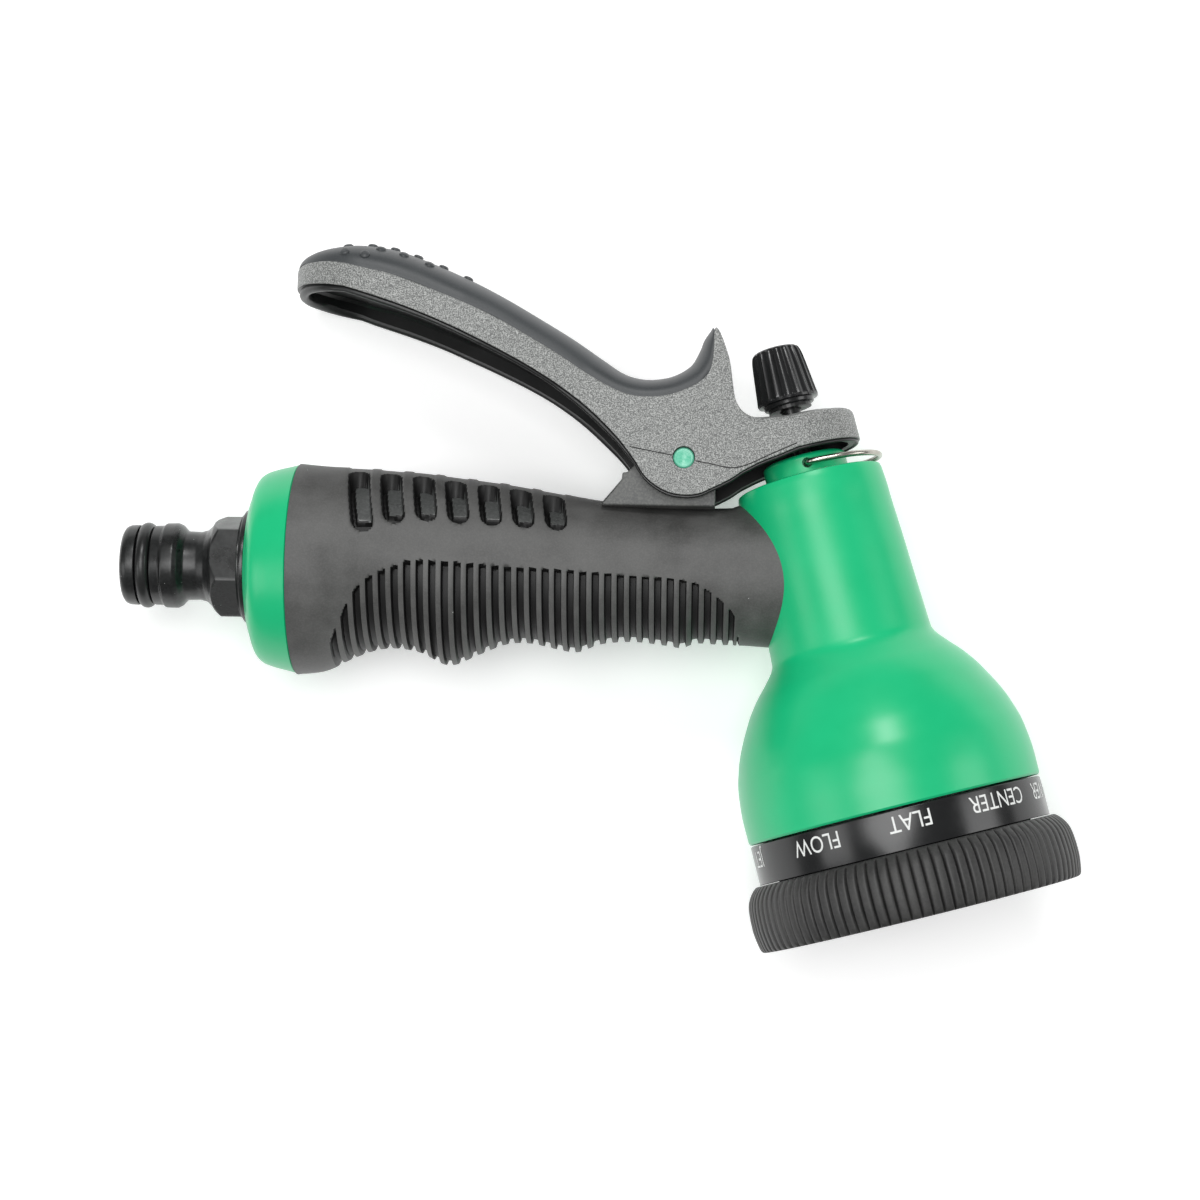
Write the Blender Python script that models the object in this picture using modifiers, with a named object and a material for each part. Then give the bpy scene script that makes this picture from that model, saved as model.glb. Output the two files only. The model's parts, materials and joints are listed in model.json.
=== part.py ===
"""Pistol-grip hose spray nozzle, lying on its side.

Every piece is modelled in the nozzle's own plane: X runs along the handle from the spigot's tip,
Y points to the squeeze lever and Z points across the handle. Lengths below are in millimetres.
One empty then lays the whole nozzle on the floor, on its spray head, end cap and lever.
"""

import math

import bmesh
import bpy
import numpy as np
from mathutils import Matrix, Vector

MM = 0.001
GAP = 0.3
MERGE = 0.00001

# Spray axis: crosses the handle's axis at BELL_X, leaning forward by BELL_LEAN degrees.
BELL_X = 146.7
BELL_LEAN = 15.1
# Along the spray axis: S is the distance from the crossing, positive towards the spray face.
NECK_TOP_S = -20.3
NECK_BORE_R = 11.6
WALL_MIDDLE_R = 13.5
SEAT_S = 10.2
DOME_MOUTH_S = 49.0
DOME_R = 30.2
BAND_S = (49.3, 57.2)
RING_S = (57.5, 70.5)
RING_R = 33.6
FACE_S = 68.5
# Flow valve
STEM_R = 2.0
STEM_CLEAR_R = 2.3
TONGUE_TOP_S = -35.2
KNOB_S = (-49.0, -37.0)
# Handle and inlet
CORE_R = 10.2
CORE_START_X = 28.0
CORE_BORE_R = 7.5
CAP_X = (25.9, 38.0)
CAP_R = 21.6
CAP_Y = -0.3
GRIP_START_X = 38.3
SPIGOT_BORE_R = 5.5
# Lever
PIVOT = (115.8, 22.2)
PIN_R = 2.15
PIN_HOLE_R = 2.45
PADDLE_HALF_WIDTH = 15.3
PADDLE_ROUND_X = 49.5
PADDLE_ROUND_LENGTH = 14.7
PADDLE_REST_POINT = (47.0, 61.4)
TAPER_X = (70, 95)
ARM_HALF_WIDTH = 12.2
WALL = 2.2
PAD_INSET = 0.5
EAR_OUTER_Z = 9.7
EAR_INNER_Z = 7.0
# Bracket under the lever
BRACKET_X = (98.8, 122.4)
BRACKET_FOOT_Y = 11.0
# Spray patterns around the dial
PATTERNS = 9
PATTERN_R = 16.0
CLICK_R = 24.9

COLOURS = {
    "green_abs": ((0.030, 0.510, 0.210), 0.32, 0.0),
    "black_rubber": ((0.030, 0.030, 0.032), 0.70, 0.0),
    "black_plastic": ((0.012, 0.012, 0.013), 0.22, 0.0),
    "grey_nylon": ((0.085, 0.088, 0.092), 0.60, 0.0),
    "soft_black": ((0.035, 0.037, 0.040), 0.45, 0.0),
    "stainless": ((0.600, 0.600, 0.590), 0.25, 1.0),
    "brass": ((0.720, 0.520, 0.220), 0.30, 1.0),
}

ABOUT_X = Matrix(((0, 0, 1), (1, 0, 0), (0, 1, 0)))


def clear_scene():
    """Remove the objects that the file opened with."""
    for obj in list(bpy.data.objects):
        bpy.data.objects.remove(obj, do_unlink=True)


def collection(name):
    made = bpy.data.collections.new(name)
    bpy.context.scene.collection.children.link(made)
    return made


clear_scene()
PARTS = collection("hose_spray_nozzle")
CUTTERS = collection("cutters")


def material(name):
    """The shared Principled material of one finish."""
    found = bpy.data.materials.get(name)
    if found:
        return found
    colour, roughness, metallic = COLOURS[name]
    made = bpy.data.materials.new(name)
    made.use_nodes = True
    shader = made.node_tree.nodes["Principled BSDF"]
    shader.inputs["Base Color"].default_value = (*colour, 1.0)
    shader.inputs["Roughness"].default_value = roughness
    shader.inputs["Metallic"].default_value = metallic
    return made


def empty(name, parent=None, location=(0, 0, 0), rotation=None):
    made = bpy.data.objects.new(name, None)
    PARTS.objects.link(made)
    made.parent = parent
    made.location = Vector(location) * MM
    if rotation:
        made.rotation_euler = rotation.to_euler()
    return made


def place(obj, parent, finish):
    """Put an object in the parts, or among the cutters when it has no finish."""
    obj.parent = parent
    if finish:
        PARTS.objects.link(obj)
        obj.data.materials.append(material(finish))
    else:
        CUTTERS.objects.link(obj)
        obj.hide_render = True
        obj.display_type = "WIRE"
    return obj


def mesh_object(name, points, edges, faces, parent, finish):
    mesh = bpy.data.meshes.new(name)
    mesh.from_pydata([tuple(np.asarray(p) * MM) for p in points], edges, faces)
    return place(bpy.data.objects.new(name, mesh), parent, finish)


def signed_area(points):
    x, y = np.array(points, float).T
    return 0.5 * float(np.sum(x * np.roll(y, -1) - np.roll(x, -1) * y))


def turned(name, profile, parent, finish, steps=40, ring=True):
    """Turn a profile of (radius, distance along the axis) round the parent's Z axis."""
    points = profile[::-1] if signed_area(profile) > 0 else profile
    if not ring and points[0][0] > 0:
        points = points[::-1]
    count = len(points)
    edges = [(i, (i + 1) % count) for i in range(count if ring else count - 1)]
    obj = mesh_object(name, [(r, 0, s) for r, s in points], edges, [], parent, finish)
    screw = obj.modifiers.new("turn", "SCREW")
    screw.axis = "Z"
    screw.steps = steps
    screw.render_steps = steps
    screw.use_merge_vertices = True
    screw.merge_threshold = MERGE
    screw.use_smooth_shade = True
    return obj


def washer(name, inner, outer, low, high, parent, finish, steps=32):
    """A plain ring between two radii."""
    profile = [(inner, low), (inner, high), (outer, high), (outer, low)]
    return turned(name, profile, parent, finish, steps)


def rod(name, radius, low, high, parent, finish, steps=32):
    """A plain solid round bar."""
    profile = [(0, high), (radius, high), (radius, low), (0, low)]
    return turned(name, profile, parent, finish, steps, ring=False)


def curve_through(points, per_span=3):
    """A Catmull-Rom curve through the points, end points kept."""
    p = np.array(points, float)
    p = np.vstack([2 * p[0] - p[1], p, 2 * p[-1] - p[-2]])
    t = np.linspace(0, 1, per_span, endpoint=False)[:, None]
    spans = [
        0.5 * (2 * b + (c - a) * t + (2 * a - 5 * b + 4 * c - d) * t**2 + (3 * b - a - 3 * c + d) * t**3)
        for a, b, c, d in zip(p, p[1:], p[2:], p[3:])
    ]
    return [tuple(q) for q in np.vstack([*spans, p[-2:-1]])]


def arc(centre, radius, start, end, count):
    """Points on an arc, angles in degrees."""
    turn = np.radians(np.linspace(start, end, count))
    return [(centre[0] + radius * math.cos(a), centre[1] + radius * math.sin(a)) for a in turn]


def as_mesh(curve_object, parent, finish):
    """Replace a curve object by its closed mesh."""
    bpy.context.view_layer.update()
    depsgraph = bpy.context.evaluated_depsgraph_get()
    mesh = bpy.data.meshes.new_from_object(curve_object.evaluated_get(depsgraph))
    name = curve_object.name
    matrix = curve_object.matrix_basis.copy()
    bpy.data.objects.remove(curve_object)
    shape = bmesh.new()
    shape.from_mesh(mesh)
    bmesh.ops.remove_doubles(shape, verts=shape.verts, dist=MERGE)
    bmesh.ops.recalc_face_normals(shape, faces=shape.faces)
    shape.to_mesh(mesh)
    shape.free()
    mesh.materials.clear()
    obj = bpy.data.objects.new(name, mesh)
    obj.matrix_basis = matrix
    return place(obj, parent, finish)


def plate(name, outline, half_thickness, parent, finish=None, matrix=None):
    """A flat outline, thickened both ways from its plane."""
    data = bpy.data.curves.new(name + "_outline", "CURVE")
    data.dimensions = "2D"
    data.fill_mode = "BOTH"
    data.extrude = half_thickness * MM
    spline = data.splines.new("POLY")
    spline.points.add(len(outline) - 1)
    for point, (x, y) in zip(spline.points, outline):
        point.co = (x * MM, y * MM, 0, 1)
    spline.use_cyclic_u = True
    obj = bpy.data.objects.new(name, data)
    obj.matrix_basis = matrix or Matrix()
    CUTTERS.objects.link(obj)
    return as_mesh(obj, parent, finish)


def wire(name, route, radius, parent, finish):
    """A round wire along a route."""
    data = bpy.data.curves.new(name + "_route", "CURVE")
    data.dimensions = "3D"
    data.bevel_depth = radius * MM
    data.bevel_resolution = 2
    data.use_fill_caps = True
    spline = data.splines.new("POLY")
    spline.points.add(len(route) - 1)
    for point, xyz in zip(spline.points, route):
        point.co = (*(np.array(xyz) * MM), 1)
    obj = bpy.data.objects.new(name, data)
    CUTTERS.objects.link(obj)
    return as_mesh(obj, parent, finish)


def loft(name, sections, parent, finish):
    """A closed skin over sections that have the same number of points, with flat ends."""
    n = len(sections[0])
    points = [point for section in sections for point in section]
    faces = [
        (k * n + i, k * n + (i + 1) % n, (k + 1) * n + (i + 1) % n, (k + 1) * n + i)
        for k in range(len(sections) - 1)
        for i in range(n)
    ]
    faces += [tuple(range(n))[::-1], tuple(range((len(sections) - 1) * n, len(sections) * n))]
    obj = mesh_object(name, points, [], faces, parent, finish)
    shape = bmesh.new()
    shape.from_mesh(obj.data)
    bmesh.ops.recalc_face_normals(shape, faces=shape.faces)
    shape.to_mesh(obj.data)
    shape.free()
    return obj


def combine(obj, other, operation="DIFFERENCE"):
    """Add one exact Boolean to an object."""
    step = obj.modifiers.new(operation.lower(), "BOOLEAN")
    step.operation = operation
    step.solver = "EXACT"
    step.object = other
    return obj


def lean_matrix():
    """Turns the spray frame (X outward, Z to the spray face) into the nozzle's plane."""
    a = math.radians(BELL_LEAN)
    return Matrix(((math.cos(a), 0, math.sin(a)), (math.sin(a), 0, -math.cos(a)), (0, 1, 0)))


def bell_point(s, r=0.0):
    """The point in the nozzle's plane that lies s along the spray axis and r across it."""
    x, y, z = lean_matrix() @ Vector((r, 0, s))
    return Vector((BELL_X + x, y, z))


def lying_rotation():
    """The tilt that rests the nozzle on its spray head, its end cap and its lever."""
    ring_centre = bell_point(sum(RING_S) / 2)
    across = np.array(lean_matrix().col[0])
    paddle = np.array((*PADDLE_REST_POINT, -PADDLE_HALF_WIDTH))

    def heights(lean):
        up = np.array((lean[0], lean[1], 1.0))
        up /= np.linalg.norm(up)
        ring = up @ np.array(ring_centre) - RING_R * math.hypot(up @ across, up[2])
        cap = up @ np.array((CAP_X[1], CAP_Y, 0)) - CAP_R * math.hypot(up[1], up[2])
        return np.array((ring - cap, ring - up @ paddle))

    lean = np.array((0.04, -0.10))
    for _ in range(8):
        base = heights(lean)
        step = 1e-5
        slope = np.stack([(heights(lean + step * e) - base) / step for e in np.eye(2)], 1)
        lean = lean - np.linalg.solve(slope, base)
    up = Vector((lean[0], lean[1], 1.0)).normalized()
    along = (Vector((1, 0, 0)) - up.x * up).normalized()
    return Matrix((along, up.cross(along), up))


ROOT = empty("nozzle", rotation=lying_rotation())
BELL = empty("spray_axis", ROOT, (BELL_X, 0, 0), lean_matrix())
INLET = empty("inlet_axis", ROOT, (0, 0, 0), ABOUT_X)
LEVER = empty("lever_axis", ROOT, (*PIVOT, 0))


def about_pivot(outline):
    return [(x - PIVOT[0], y - PIVOT[1]) for x, y in outline]


NECK = [(14.9, NECK_TOP_S), (15.3, -19.6), (15.4, -13), (15.9, -2), (16.4, 10), (16.8, 14.6)]

# Where the neck widens into the dome, just below the grip.
NECK_ROOT = [(17.6, 16.4), (19.2, 18.3), (21.0, 20.4)]


def neck_and_dome():
    """Outer and inner walls of the green moulding, as (radius, s)."""
    shoulder = [(17.6, 16.4), (21.0, 20.4), (25.2, 26.4), (28.4, 33.7), (29.8, 40.0), (DOME_R, 45)]
    outer = NECK + curve_through(shoulder, 2) + [(30.1, DOME_MOUTH_S)]
    dome_inside = [(27.6, 43), (26.8, 38), (24.6, 31.5), (20.6, 25.2)]
    dome_inside += [(15.5, 20.0), (10.0, 16.8), (6.5, 15.2)]
    bore = [(6.5, SEAT_S + 3.1), (NECK_BORE_R, SEAT_S + 3.1), (NECK_BORE_R, NECK_TOP_S)]
    return outer + [(27.6, DOME_MOUTH_S)] + dome_inside + bore


def body_shell():
    """Neck, dome and the handle core inside the grip, in one moulding."""
    shell = turned("body_shell", neck_and_dome(), BELL, "green_abs", 48)
    core = rod("core_solid", CORE_R, CORE_START_X, 146.0, INLET, None)
    combine(core, rod("core_end", WALL_MIDDLE_R, -40, 40, BELL, None))
    bore = rod("core_bore", CORE_BORE_R, CORE_START_X - 3, 141.0, INLET, None)
    combine(shell, core, "UNION")
    combine(shell, bore)


def end_cap():
    outer = [(11.6, CAP_X[0]), (14.6, 26.7), (17.6, 28.0), (19.6, 29.8), (20.5, 32.4), (21.1, 35.0)]
    profile = outer + [(CAP_R, CAP_X[1]), (11.3, CAP_X[1]), (11.3, CAP_X[0])]
    axis = empty("end_cap_axis", ROOT, (0, CAP_Y, 0), ABOUT_X)
    turned("end_cap", profile, axis, "green_abs", 48)


def grip_section(x, top, bottom, half_width, count=28):
    """One rounded cross-section of the grip."""
    middle = (top + bottom) / 2
    height = (top - bottom) / 2
    turn = np.linspace(0, 2 * math.pi, count, endpoint=False)
    return [(x, middle + height * math.sin(a), half_width * math.cos(a)) for a in turn]


def handle_grip():
    """Soft sleeve over the core, with finger swells below and a saddle for the bracket."""
    stations = [
        (GRIP_START_X, 21.2, -21.9, 21.4), (45, 20.7, -20.5, 20.0), (52, 20.6, -17.3, 18.4),
        (60, 20.1, -16.6, 17.4), (69, 19.2, -19.6, 16.7), (77, 18.2, -16.7, 16.0),
        (85, 17.1, -15.1, 15.2), (94, 15.6, -17.4, 14.4), (103, 14.3, -14.4, 13.6),
        (110, 13.6, -14.2, 13.0), (117, 13.3, -15.6, 12.6), (124, 13.5, -14.6, 12.4),
        (131, 13.9, -14.6, 12.2), (139, 14.3, -14.8, 12.0),
    ]
    grip = loft("handle_grip", [grip_section(*s) for s in stations], ROOT, "black_rubber")
    combine(grip, rod("grip_bore", CORE_R + GAP, 30, 150, INLET, None))
    neck = [(r + GAP, s) for r, s in [*NECK, *NECK_ROOT]]
    cutter = [(0, neck[0][1]), *neck, (0, neck[-1][1])]
    combine(grip, turned("neck_room", cutter, BELL, None, 48, ring=False))
    low_x, high_x = BRACKET_X[0] - GAP, BRACKET_X[1] + GAP
    saddle = [(low_x, BRACKET_FOOT_Y - GAP), (low_x, 30), (high_x, 30), (high_x, BRACKET_FOOT_Y - GAP)]
    combine(grip, plate("bracket_room", saddle, EAR_OUTER_Z + GAP, ROOT))


def inlet_adapter():
    """Snap-in spigot: tip, O-ring groove, collar, waist, hexagon, flange and shank."""
    outer = [
        (7.4, 0.0), (8.0, 0.6), (8.2, 1.4), (8.2, 4.6), (6.5, 4.6), (6.5, 7.9), (8.2, 7.9), (8.2, 9.7),
        (8.75, 9.9), (8.75, 12.7), (8.2, 13.4), (7.0, 14.4), (7.0, 17.6), (7.9, 18.9), (9.6, 20.6),
        (11.0, 25.3), (11.0, 26.5), (7.2, 26.5), (7.2, 37.0), (SPIGOT_BORE_R, 37.0), (SPIGOT_BORE_R, 0.0),
    ]
    spigot = turned("inlet_adapter", outer, INLET, "black_plastic", 36)
    hexagon = arc((0, 0), 10.5, 36, 336, 6)
    matrix = Matrix.Translation((0, 0, 23.0 * MM))
    prism = plate("hexagon", hexagon, 2.4, INLET, None, matrix)
    combine(prism, rod("hexagon_bore", SPIGOT_BORE_R + 1.2, 18, 28, INLET, None))
    combine(spigot, prism, "UNION")


def inlet_seals():
    ring = arc((7.5, 6.25), 1.15, 0, 330, 12)
    turned("inlet_o_ring", [(r + 0.28, x) for r, x in ring], INLET, "black_rubber", 32)
    washer("inlet_washer", CORE_BORE_R, CORE_R - 0.4, 26.8, 27.7, INLET, "black_rubber")


def lever_bracket():
    """Two ears on a foot between the grip and the lever."""
    rear, front = BRACKET_X
    ear = [(rear, BRACKET_FOOT_Y), (rear, 12.6), (106.0, 20.9)]
    ear += arc(PIVOT, 5.0, 150, 0, 9) + [(front, 15.4), (front, BRACKET_FOOT_Y)]
    bracket = plate("lever_bracket", ear, EAR_OUTER_Z, ROOT, "grey_nylon")
    between = [(97, 14.2), (124, 14.2), (124, 30), (97, 30)]
    combine(bracket, plate("ear_gap", between, EAR_INNER_Z, ROOT))
    combine(bracket, rod("ear_holes", PIN_HOLE_R, -14, 14, LEVER, None))
    combine(bracket, rod("foot_room", CORE_R + GAP, 90, 130, INLET, None))


def pivot_pin():
    rod("pivot_pin", PIN_R, -11.7, 11.7, LEVER, "green_abs", 24)


def lever_plan(inset=0.0):
    """Outline of the lever seen along Y, as (x, z): round paddle, slimmer arm, round tongue."""
    paddle = PADDLE_HALF_WIDTH - inset
    arm = ARM_HALF_WIDTH - inset
    tongue_x = bell_point(-30.0).x
    reach = PADDLE_ROUND_LENGTH - inset
    left = [(PADDLE_ROUND_X - reach * math.cos(a), paddle * math.sin(a)) for a in np.linspace(-1.5, 1.5, 13)]
    right = arc((tongue_x, 0), arm, 90, -90, 13)
    wide, slim = TAPER_X
    return left + [(wide, paddle), (slim, arm)] + right + [(slim, -arm), (wide, -paddle)]


# Line where the lever's side walls meet its top pad, from the paddle's end to the hook's tip.
PAD_EDGE = [
    (37.4, 59.2), (41.8, 61.2), (46.7, 61.4), (53.7, 59.9), (61.3, 57.1), (70.8, 53.3), (80.2, 48.5),
    (89.5, 43.3), (95.8, 39.0), (100.9, 36.2), (105.2, 34.8), (109.4, 34.6), (114.4, 35.6),
    (119.2, 38.1), (121.8, 40.8), (122.9, 44.0), (122.8, 49.6),
]
# Highest line of the pad, point for point with PAD_EDGE.
PAD_CROWN = [
    (35.6, 61.8), (41.2, 65.6), (47.3, 66.8), (55.5, 66.0), (64.0, 62.9), (74.0, 58.4), (83.5, 53.3),
    (92.7, 47.9), (99.0, 43.7), (103.0, 41.0), (106.0, 40.0), (109.4, 39.7), (113.2, 40.4),
    (116.7, 42.7), (118.9, 45.9), (120.3, 48.6), (121.6, 50.8),
]


def lever():
    """Open U channel: two side walls and a roof, with pivot lobes, hook and tongue."""
    hook = [(123.6, 50.2), (124.6, 47.0), (125.3, 43.0), (125.7, 39.5), (126.4, 36.0), (128.0, 33.8)]
    tongue = [tuple(bell_point(TONGUE_TOP_S, r))[:2] for r in (-6.5, 8.0)]
    tongue += [tuple(bell_point(-33.0, 11.3))[:2], tuple(bell_point(-30.5, 12.6))[:2], (152.0, 26.2)]
    below = [(144.5, 25.8), (138.5, 24.3), (132.0, 22.3), (126.3, 20.5)]
    lobe = arc(PIVOT, 6.5, -30, -165, 8)
    channel = [(104.6, 22.6), (98.9, 28.0), (90.7, 35.4), (74.2, 45.3), (62.0, 49.9), (49.7, 53.0)]
    paddle_end = [(43.5, 54.2), (38.5, 53.7), (35.4, 54.8), (34.8, 57.4)]
    side = PAD_EDGE + hook + tongue + below + lobe + channel + paddle_end
    body = plate("lever", about_pivot(side), 20, LEVER, "grey_nylon")
    seen_down = Matrix.Translation((-PIVOT[0] * MM, 0, 0)) @ Matrix.Rotation(math.pi / 2, 4, "X")
    combine(body, plate("lever_plan", lever_plan(), 120, LEVER, None, seen_down), "INTERSECT")
    roof = [(x, y - 2.5) for x, y in PAD_EDGE[1:12]]
    far_roof = [(112, 31.6), (122, 30.0)]
    far_roof += [tuple(bell_point(-32.6, -7))[:2], tuple(bell_point(-32.6, 12.6))[:2]]
    floor = [(152.5, 5), (100, 0), (34.0, 30)]
    hollow = [(34.0, 56.0)] + roof + far_roof + floor
    cavity = plate("lever_cavity", about_pivot(hollow), 20, LEVER)
    combine(cavity, plate("cavity_plan", lever_plan(WALL), 140, LEVER, None, seen_down), "INTERSECT")
    combine(body, cavity)
    combine(body, rod("lever_pin_hole", PIN_HOLE_R, -20, 20, LEVER, None, 24))
    combine(body, rod("lever_stem_hole", 4.2, -45, -28, BELL, None))


def pad_section(edge, crown, count=11):
    """Half-round section from one side edge over the crown to the other, with a flat base."""
    x, y = edge
    arm = np.interp(x, TAPER_X, (PADDLE_HALF_WIDTH, ARM_HALF_WIDTH)) - PAD_INSET
    along = max(0.0, PADDLE_ROUND_X - x) / PADDLE_ROUND_LENGTH
    reach = math.sqrt(max(0.0, 1 - along**2))
    taper = float(np.interp(crown[1] if x > 118 else 0, (42, 51), (1.0, 0.35)))
    half_width = arm * reach * taper
    rise = Vector(crown) - Vector(edge)
    away = rise.normalized() * GAP
    section = []
    for turn in np.linspace(0, math.pi, count):
        height = math.sin(turn) ** 0.8
        point = (x + away.x + rise.x * height, y + away.y + rise.y * height, half_width * math.cos(turn))
        section.append(point)
    return section


def lever_pad():
    """Smooth crowned pad along the top of the lever, up to the hook's tip."""
    pairs = list(zip(PAD_EDGE, PAD_CROWN))
    sections = [pad_section(edge, crown) for edge, crown in pairs]
    shifted = [[(x - PIVOT[0], y - PIVOT[1], z) for x, y, z in section] for section in sections]
    loft("lever_pad", shifted, LEVER, "soft_black")


def flow_knob():
    outer = [(0, KNOB_S[0]), (3.6, -48.9), (4.8, -48.2), (5.2, -46.8), (6.0, -38.6), (5.7, KNOB_S[1])]
    profile = outer + [(STEM_CLEAR_R, KNOB_S[1]), (STEM_CLEAR_R, -46.0), (0, -46.0)]
    turned("flow_knob", profile, BELL, "black_plastic", 32, ring=False)


def valve():
    """Stem from the knob down to the poppet, with its washers, seat and return spring."""
    rod("valve_stem", STEM_R, -45.7, 6.2, BELL, "brass")
    washer("knob_washer", STEM_CLEAR_R, 4.5, TONGUE_TOP_S - 1.5, TONGUE_TOP_S - GAP, BELL, "stainless")
    rod("valve_poppet", 7.5, 6.5, 8.6, BELL, "brass")
    rod("poppet_washer", 7.2, 8.9, SEAT_S - GAP, BELL, "black_rubber")
    washer("valve_seat", 5.0, NECK_BORE_R - GAP, SEAT_S, SEAT_S + 2.8, BELL, "brass")
    turns = 5
    route = []
    for k in range(turns * 12 + 1):
        a = k * math.pi / 6
        rise = -7.9 + 13.3 * k / (turns * 12)
        route.append((5.2 * math.cos(a), 5.2 * math.sin(a), rise))
    wire("valve_spring", route, 0.6, BELL, "stainless")


def gland():
    """Bush in the neck's top, the stem seal inside it and the clip that holds it."""
    profile = [
        (STEM_CLEAR_R, -25.0), (8.2, -25.0), (8.6, -24.5), (8.6, -20.0), (NECK_BORE_R - GAP, -20.0),
        (NECK_BORE_R - GAP, -8.8), (STEM_CLEAR_R, -8.8), (STEM_CLEAR_R, -12.5), (4.9, -12.5),
        (4.9, -15.1), (STEM_CLEAR_R, -15.1),
    ]
    bush = turned("gland_bush", profile, BELL, "green_abs", 40)
    seal = arc((3.55, -13.8), 0.95, 0, 330, 12)
    turned("gland_o_ring", [(r + GAP / 4, s) for r, s in seal], BELL, "black_rubber", 32)
    across = Matrix.Translation((0, 0, -21.7 * MM)) @ Matrix.Rotation(math.pi / 2, 4, "X")
    hole = rod("clip_holes", 0.95, -12, 12, BELL, None, 16)
    hole.matrix_basis = across
    blind = rod("clip_stop", 5.9, -23.5, -19.9, BELL, None)
    combine(hole, blind)
    combine(bush, hole)
    leg = [(0, 6.4), (0, 9.0), (0.3, 9.7), (1.0, 10.0), (3.0, 10.0)]
    bend = arc((5.4, 0), 10.0, 90, -90, 15)
    route = leg + bend + [(r, -y) for r, y in leg[::-1]]
    wire("wire_clip", [(r, y, -21.7) for r, y in route], 0.6, BELL, "stainless")


def pattern_centres():
    """Centres of the spray patterns, one for each setting of the dial."""
    turn = [math.radians(90 + 360 * k / PATTERNS) for k in range(PATTERNS)]
    return [(PATTERN_R * math.cos(a), PATTERN_R * math.sin(a)) for a in turn]


def distributor():
    """Fixed disc in the dome's mouth: one outlet, the hub for the screw and the click stop."""
    profile = [
        (0, 44.0), (27.2, 44.0), (27.2, 48.5), (4.5, 48.5), (4.5, 60.0), (1.8, 60.0), (1.8, 54.0), (0, 54.0),
    ]
    disc = turned("distributor_disc", profile, BELL, "black_plastic", 40, ring=False)
    port_x, port_y = pattern_centres()[0]
    port = rod("outlet_port", 3.6, 40, 52, BELL, None, 20)
    port.location = Vector((port_x, port_y, 0)) * MM
    combine(disc, port)
    pocket = rod("click_pocket", 1.7, 45.6, 52, BELL, None, 16)
    pocket.location = Vector((-CLICK_R, 0, 0)) * MM
    combine(disc, pocket)
    gasket = washer("dial_gasket", 3.8, 5.6, 48.8, 52.0, BELL, "black_rubber", 20)
    gasket.location = Vector((port_x, port_y, 0)) * MM
    route = []
    for k in range(4 * 8 + 1):
        a = k * math.pi / 4
        route.append((1.1 * math.cos(a) - CLICK_R, 1.1 * math.sin(a), 46.1 + 2.4 * k / 32))
    wire("detent_spring", route, 0.22, BELL, "stainless")
    mesh = bpy.data.meshes.new("detent_ball")
    ball = bmesh.new()
    bmesh.ops.create_uvsphere(ball, u_segments=12, v_segments=8, radius=1.4 * MM)
    ball.to_mesh(mesh)
    ball.free()
    sphere = place(bpy.data.objects.new("detent_ball", mesh), BELL, "stainless")
    sphere.location = Vector((-CLICK_R, 0, 50.4)) * MM


def spray_head():
    """The turning head: label band, ribbed ring and spray face, held by the centre screw."""
    washer("label_band", 26.3, 29.9, *BAND_S, BELL, "black_plastic", 48)
    ring = [
        (29.9, RING_S[0]), (30.6, RING_S[0]), (32.4, 58.8), (33.1, 60.2), (RING_R, 62.5), (RING_R, 67.0),
        (33.1, 69.6), (32.4, RING_S[1]), (29.9, RING_S[1]),
    ]
    turned("grip_ring", ring, BELL, "black_rubber", 48)
    profile = [
        (2.1, 66.0), (2.1, FACE_S), (29.0, FACE_S), (29.6, FACE_S - 0.6), (29.6, 57.6), (26.0, 57.2),
        (26.0, 52.5), (23.8, 52.5), (23.8, 66.0),
    ]
    face = turned("face_plate", profile, BELL, "black_plastic", 48)
    for index, (x, y) in enumerate(pattern_centres()):
        hole = rod(f"spray_hole_{index}", 1.5, 60, 75, BELL, None, 12)
        hole.location = Vector((x, y, 0)) * MM
        combine(face, hole)
    screw = [(0, 70.2), (4.0, 70.2), (4.5, 69.7), (4.5, 68.8), (1.5, 68.8), (1.5, 55.0), (0, 55.0)]
    turned("dial_screw", screw, BELL, "stainless", 24, ring=False)


def settle():
    """Stand the finished nozzle on z = 0 with its box centred over the origin."""
    bpy.context.view_layer.update()
    depsgraph = bpy.context.evaluated_depsgraph_get()
    corners = []
    for obj in PARTS.objects:
        if obj.type != "MESH":
            continue
        shown = obj.evaluated_get(depsgraph)
        corners += [shown.matrix_world @ vertex.co for vertex in shown.data.vertices]
    points = np.array(corners)
    low, high = points.min(0), points.max(0)
    ROOT.location = (-(low[0] + high[0]) / 2, -(low[1] + high[1]) / 2, -low[2])
    bpy.context.view_layer.update()


body_shell()
end_cap()
handle_grip()
inlet_adapter()
inlet_seals()
lever_bracket()
pivot_pin()
lever()
lever_pad()
flow_knob()
valve()
gland()
distributor()
spray_head()
settle()
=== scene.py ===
"""Looks of a pistol-grip hose spray nozzle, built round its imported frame.

The nozzle's own plane has X along the handle from the spigot's tip, Y towards the squeeze lever and Z across
the handle. The spray axis leans in that plane. Sizes are in millimetres in those axes, and Space carries them
into the row frame in metres.
"""

from __future__ import annotations

import json
import logging
import math
from dataclasses import dataclass
from enum import Enum
from typing import Any, Sequence

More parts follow.
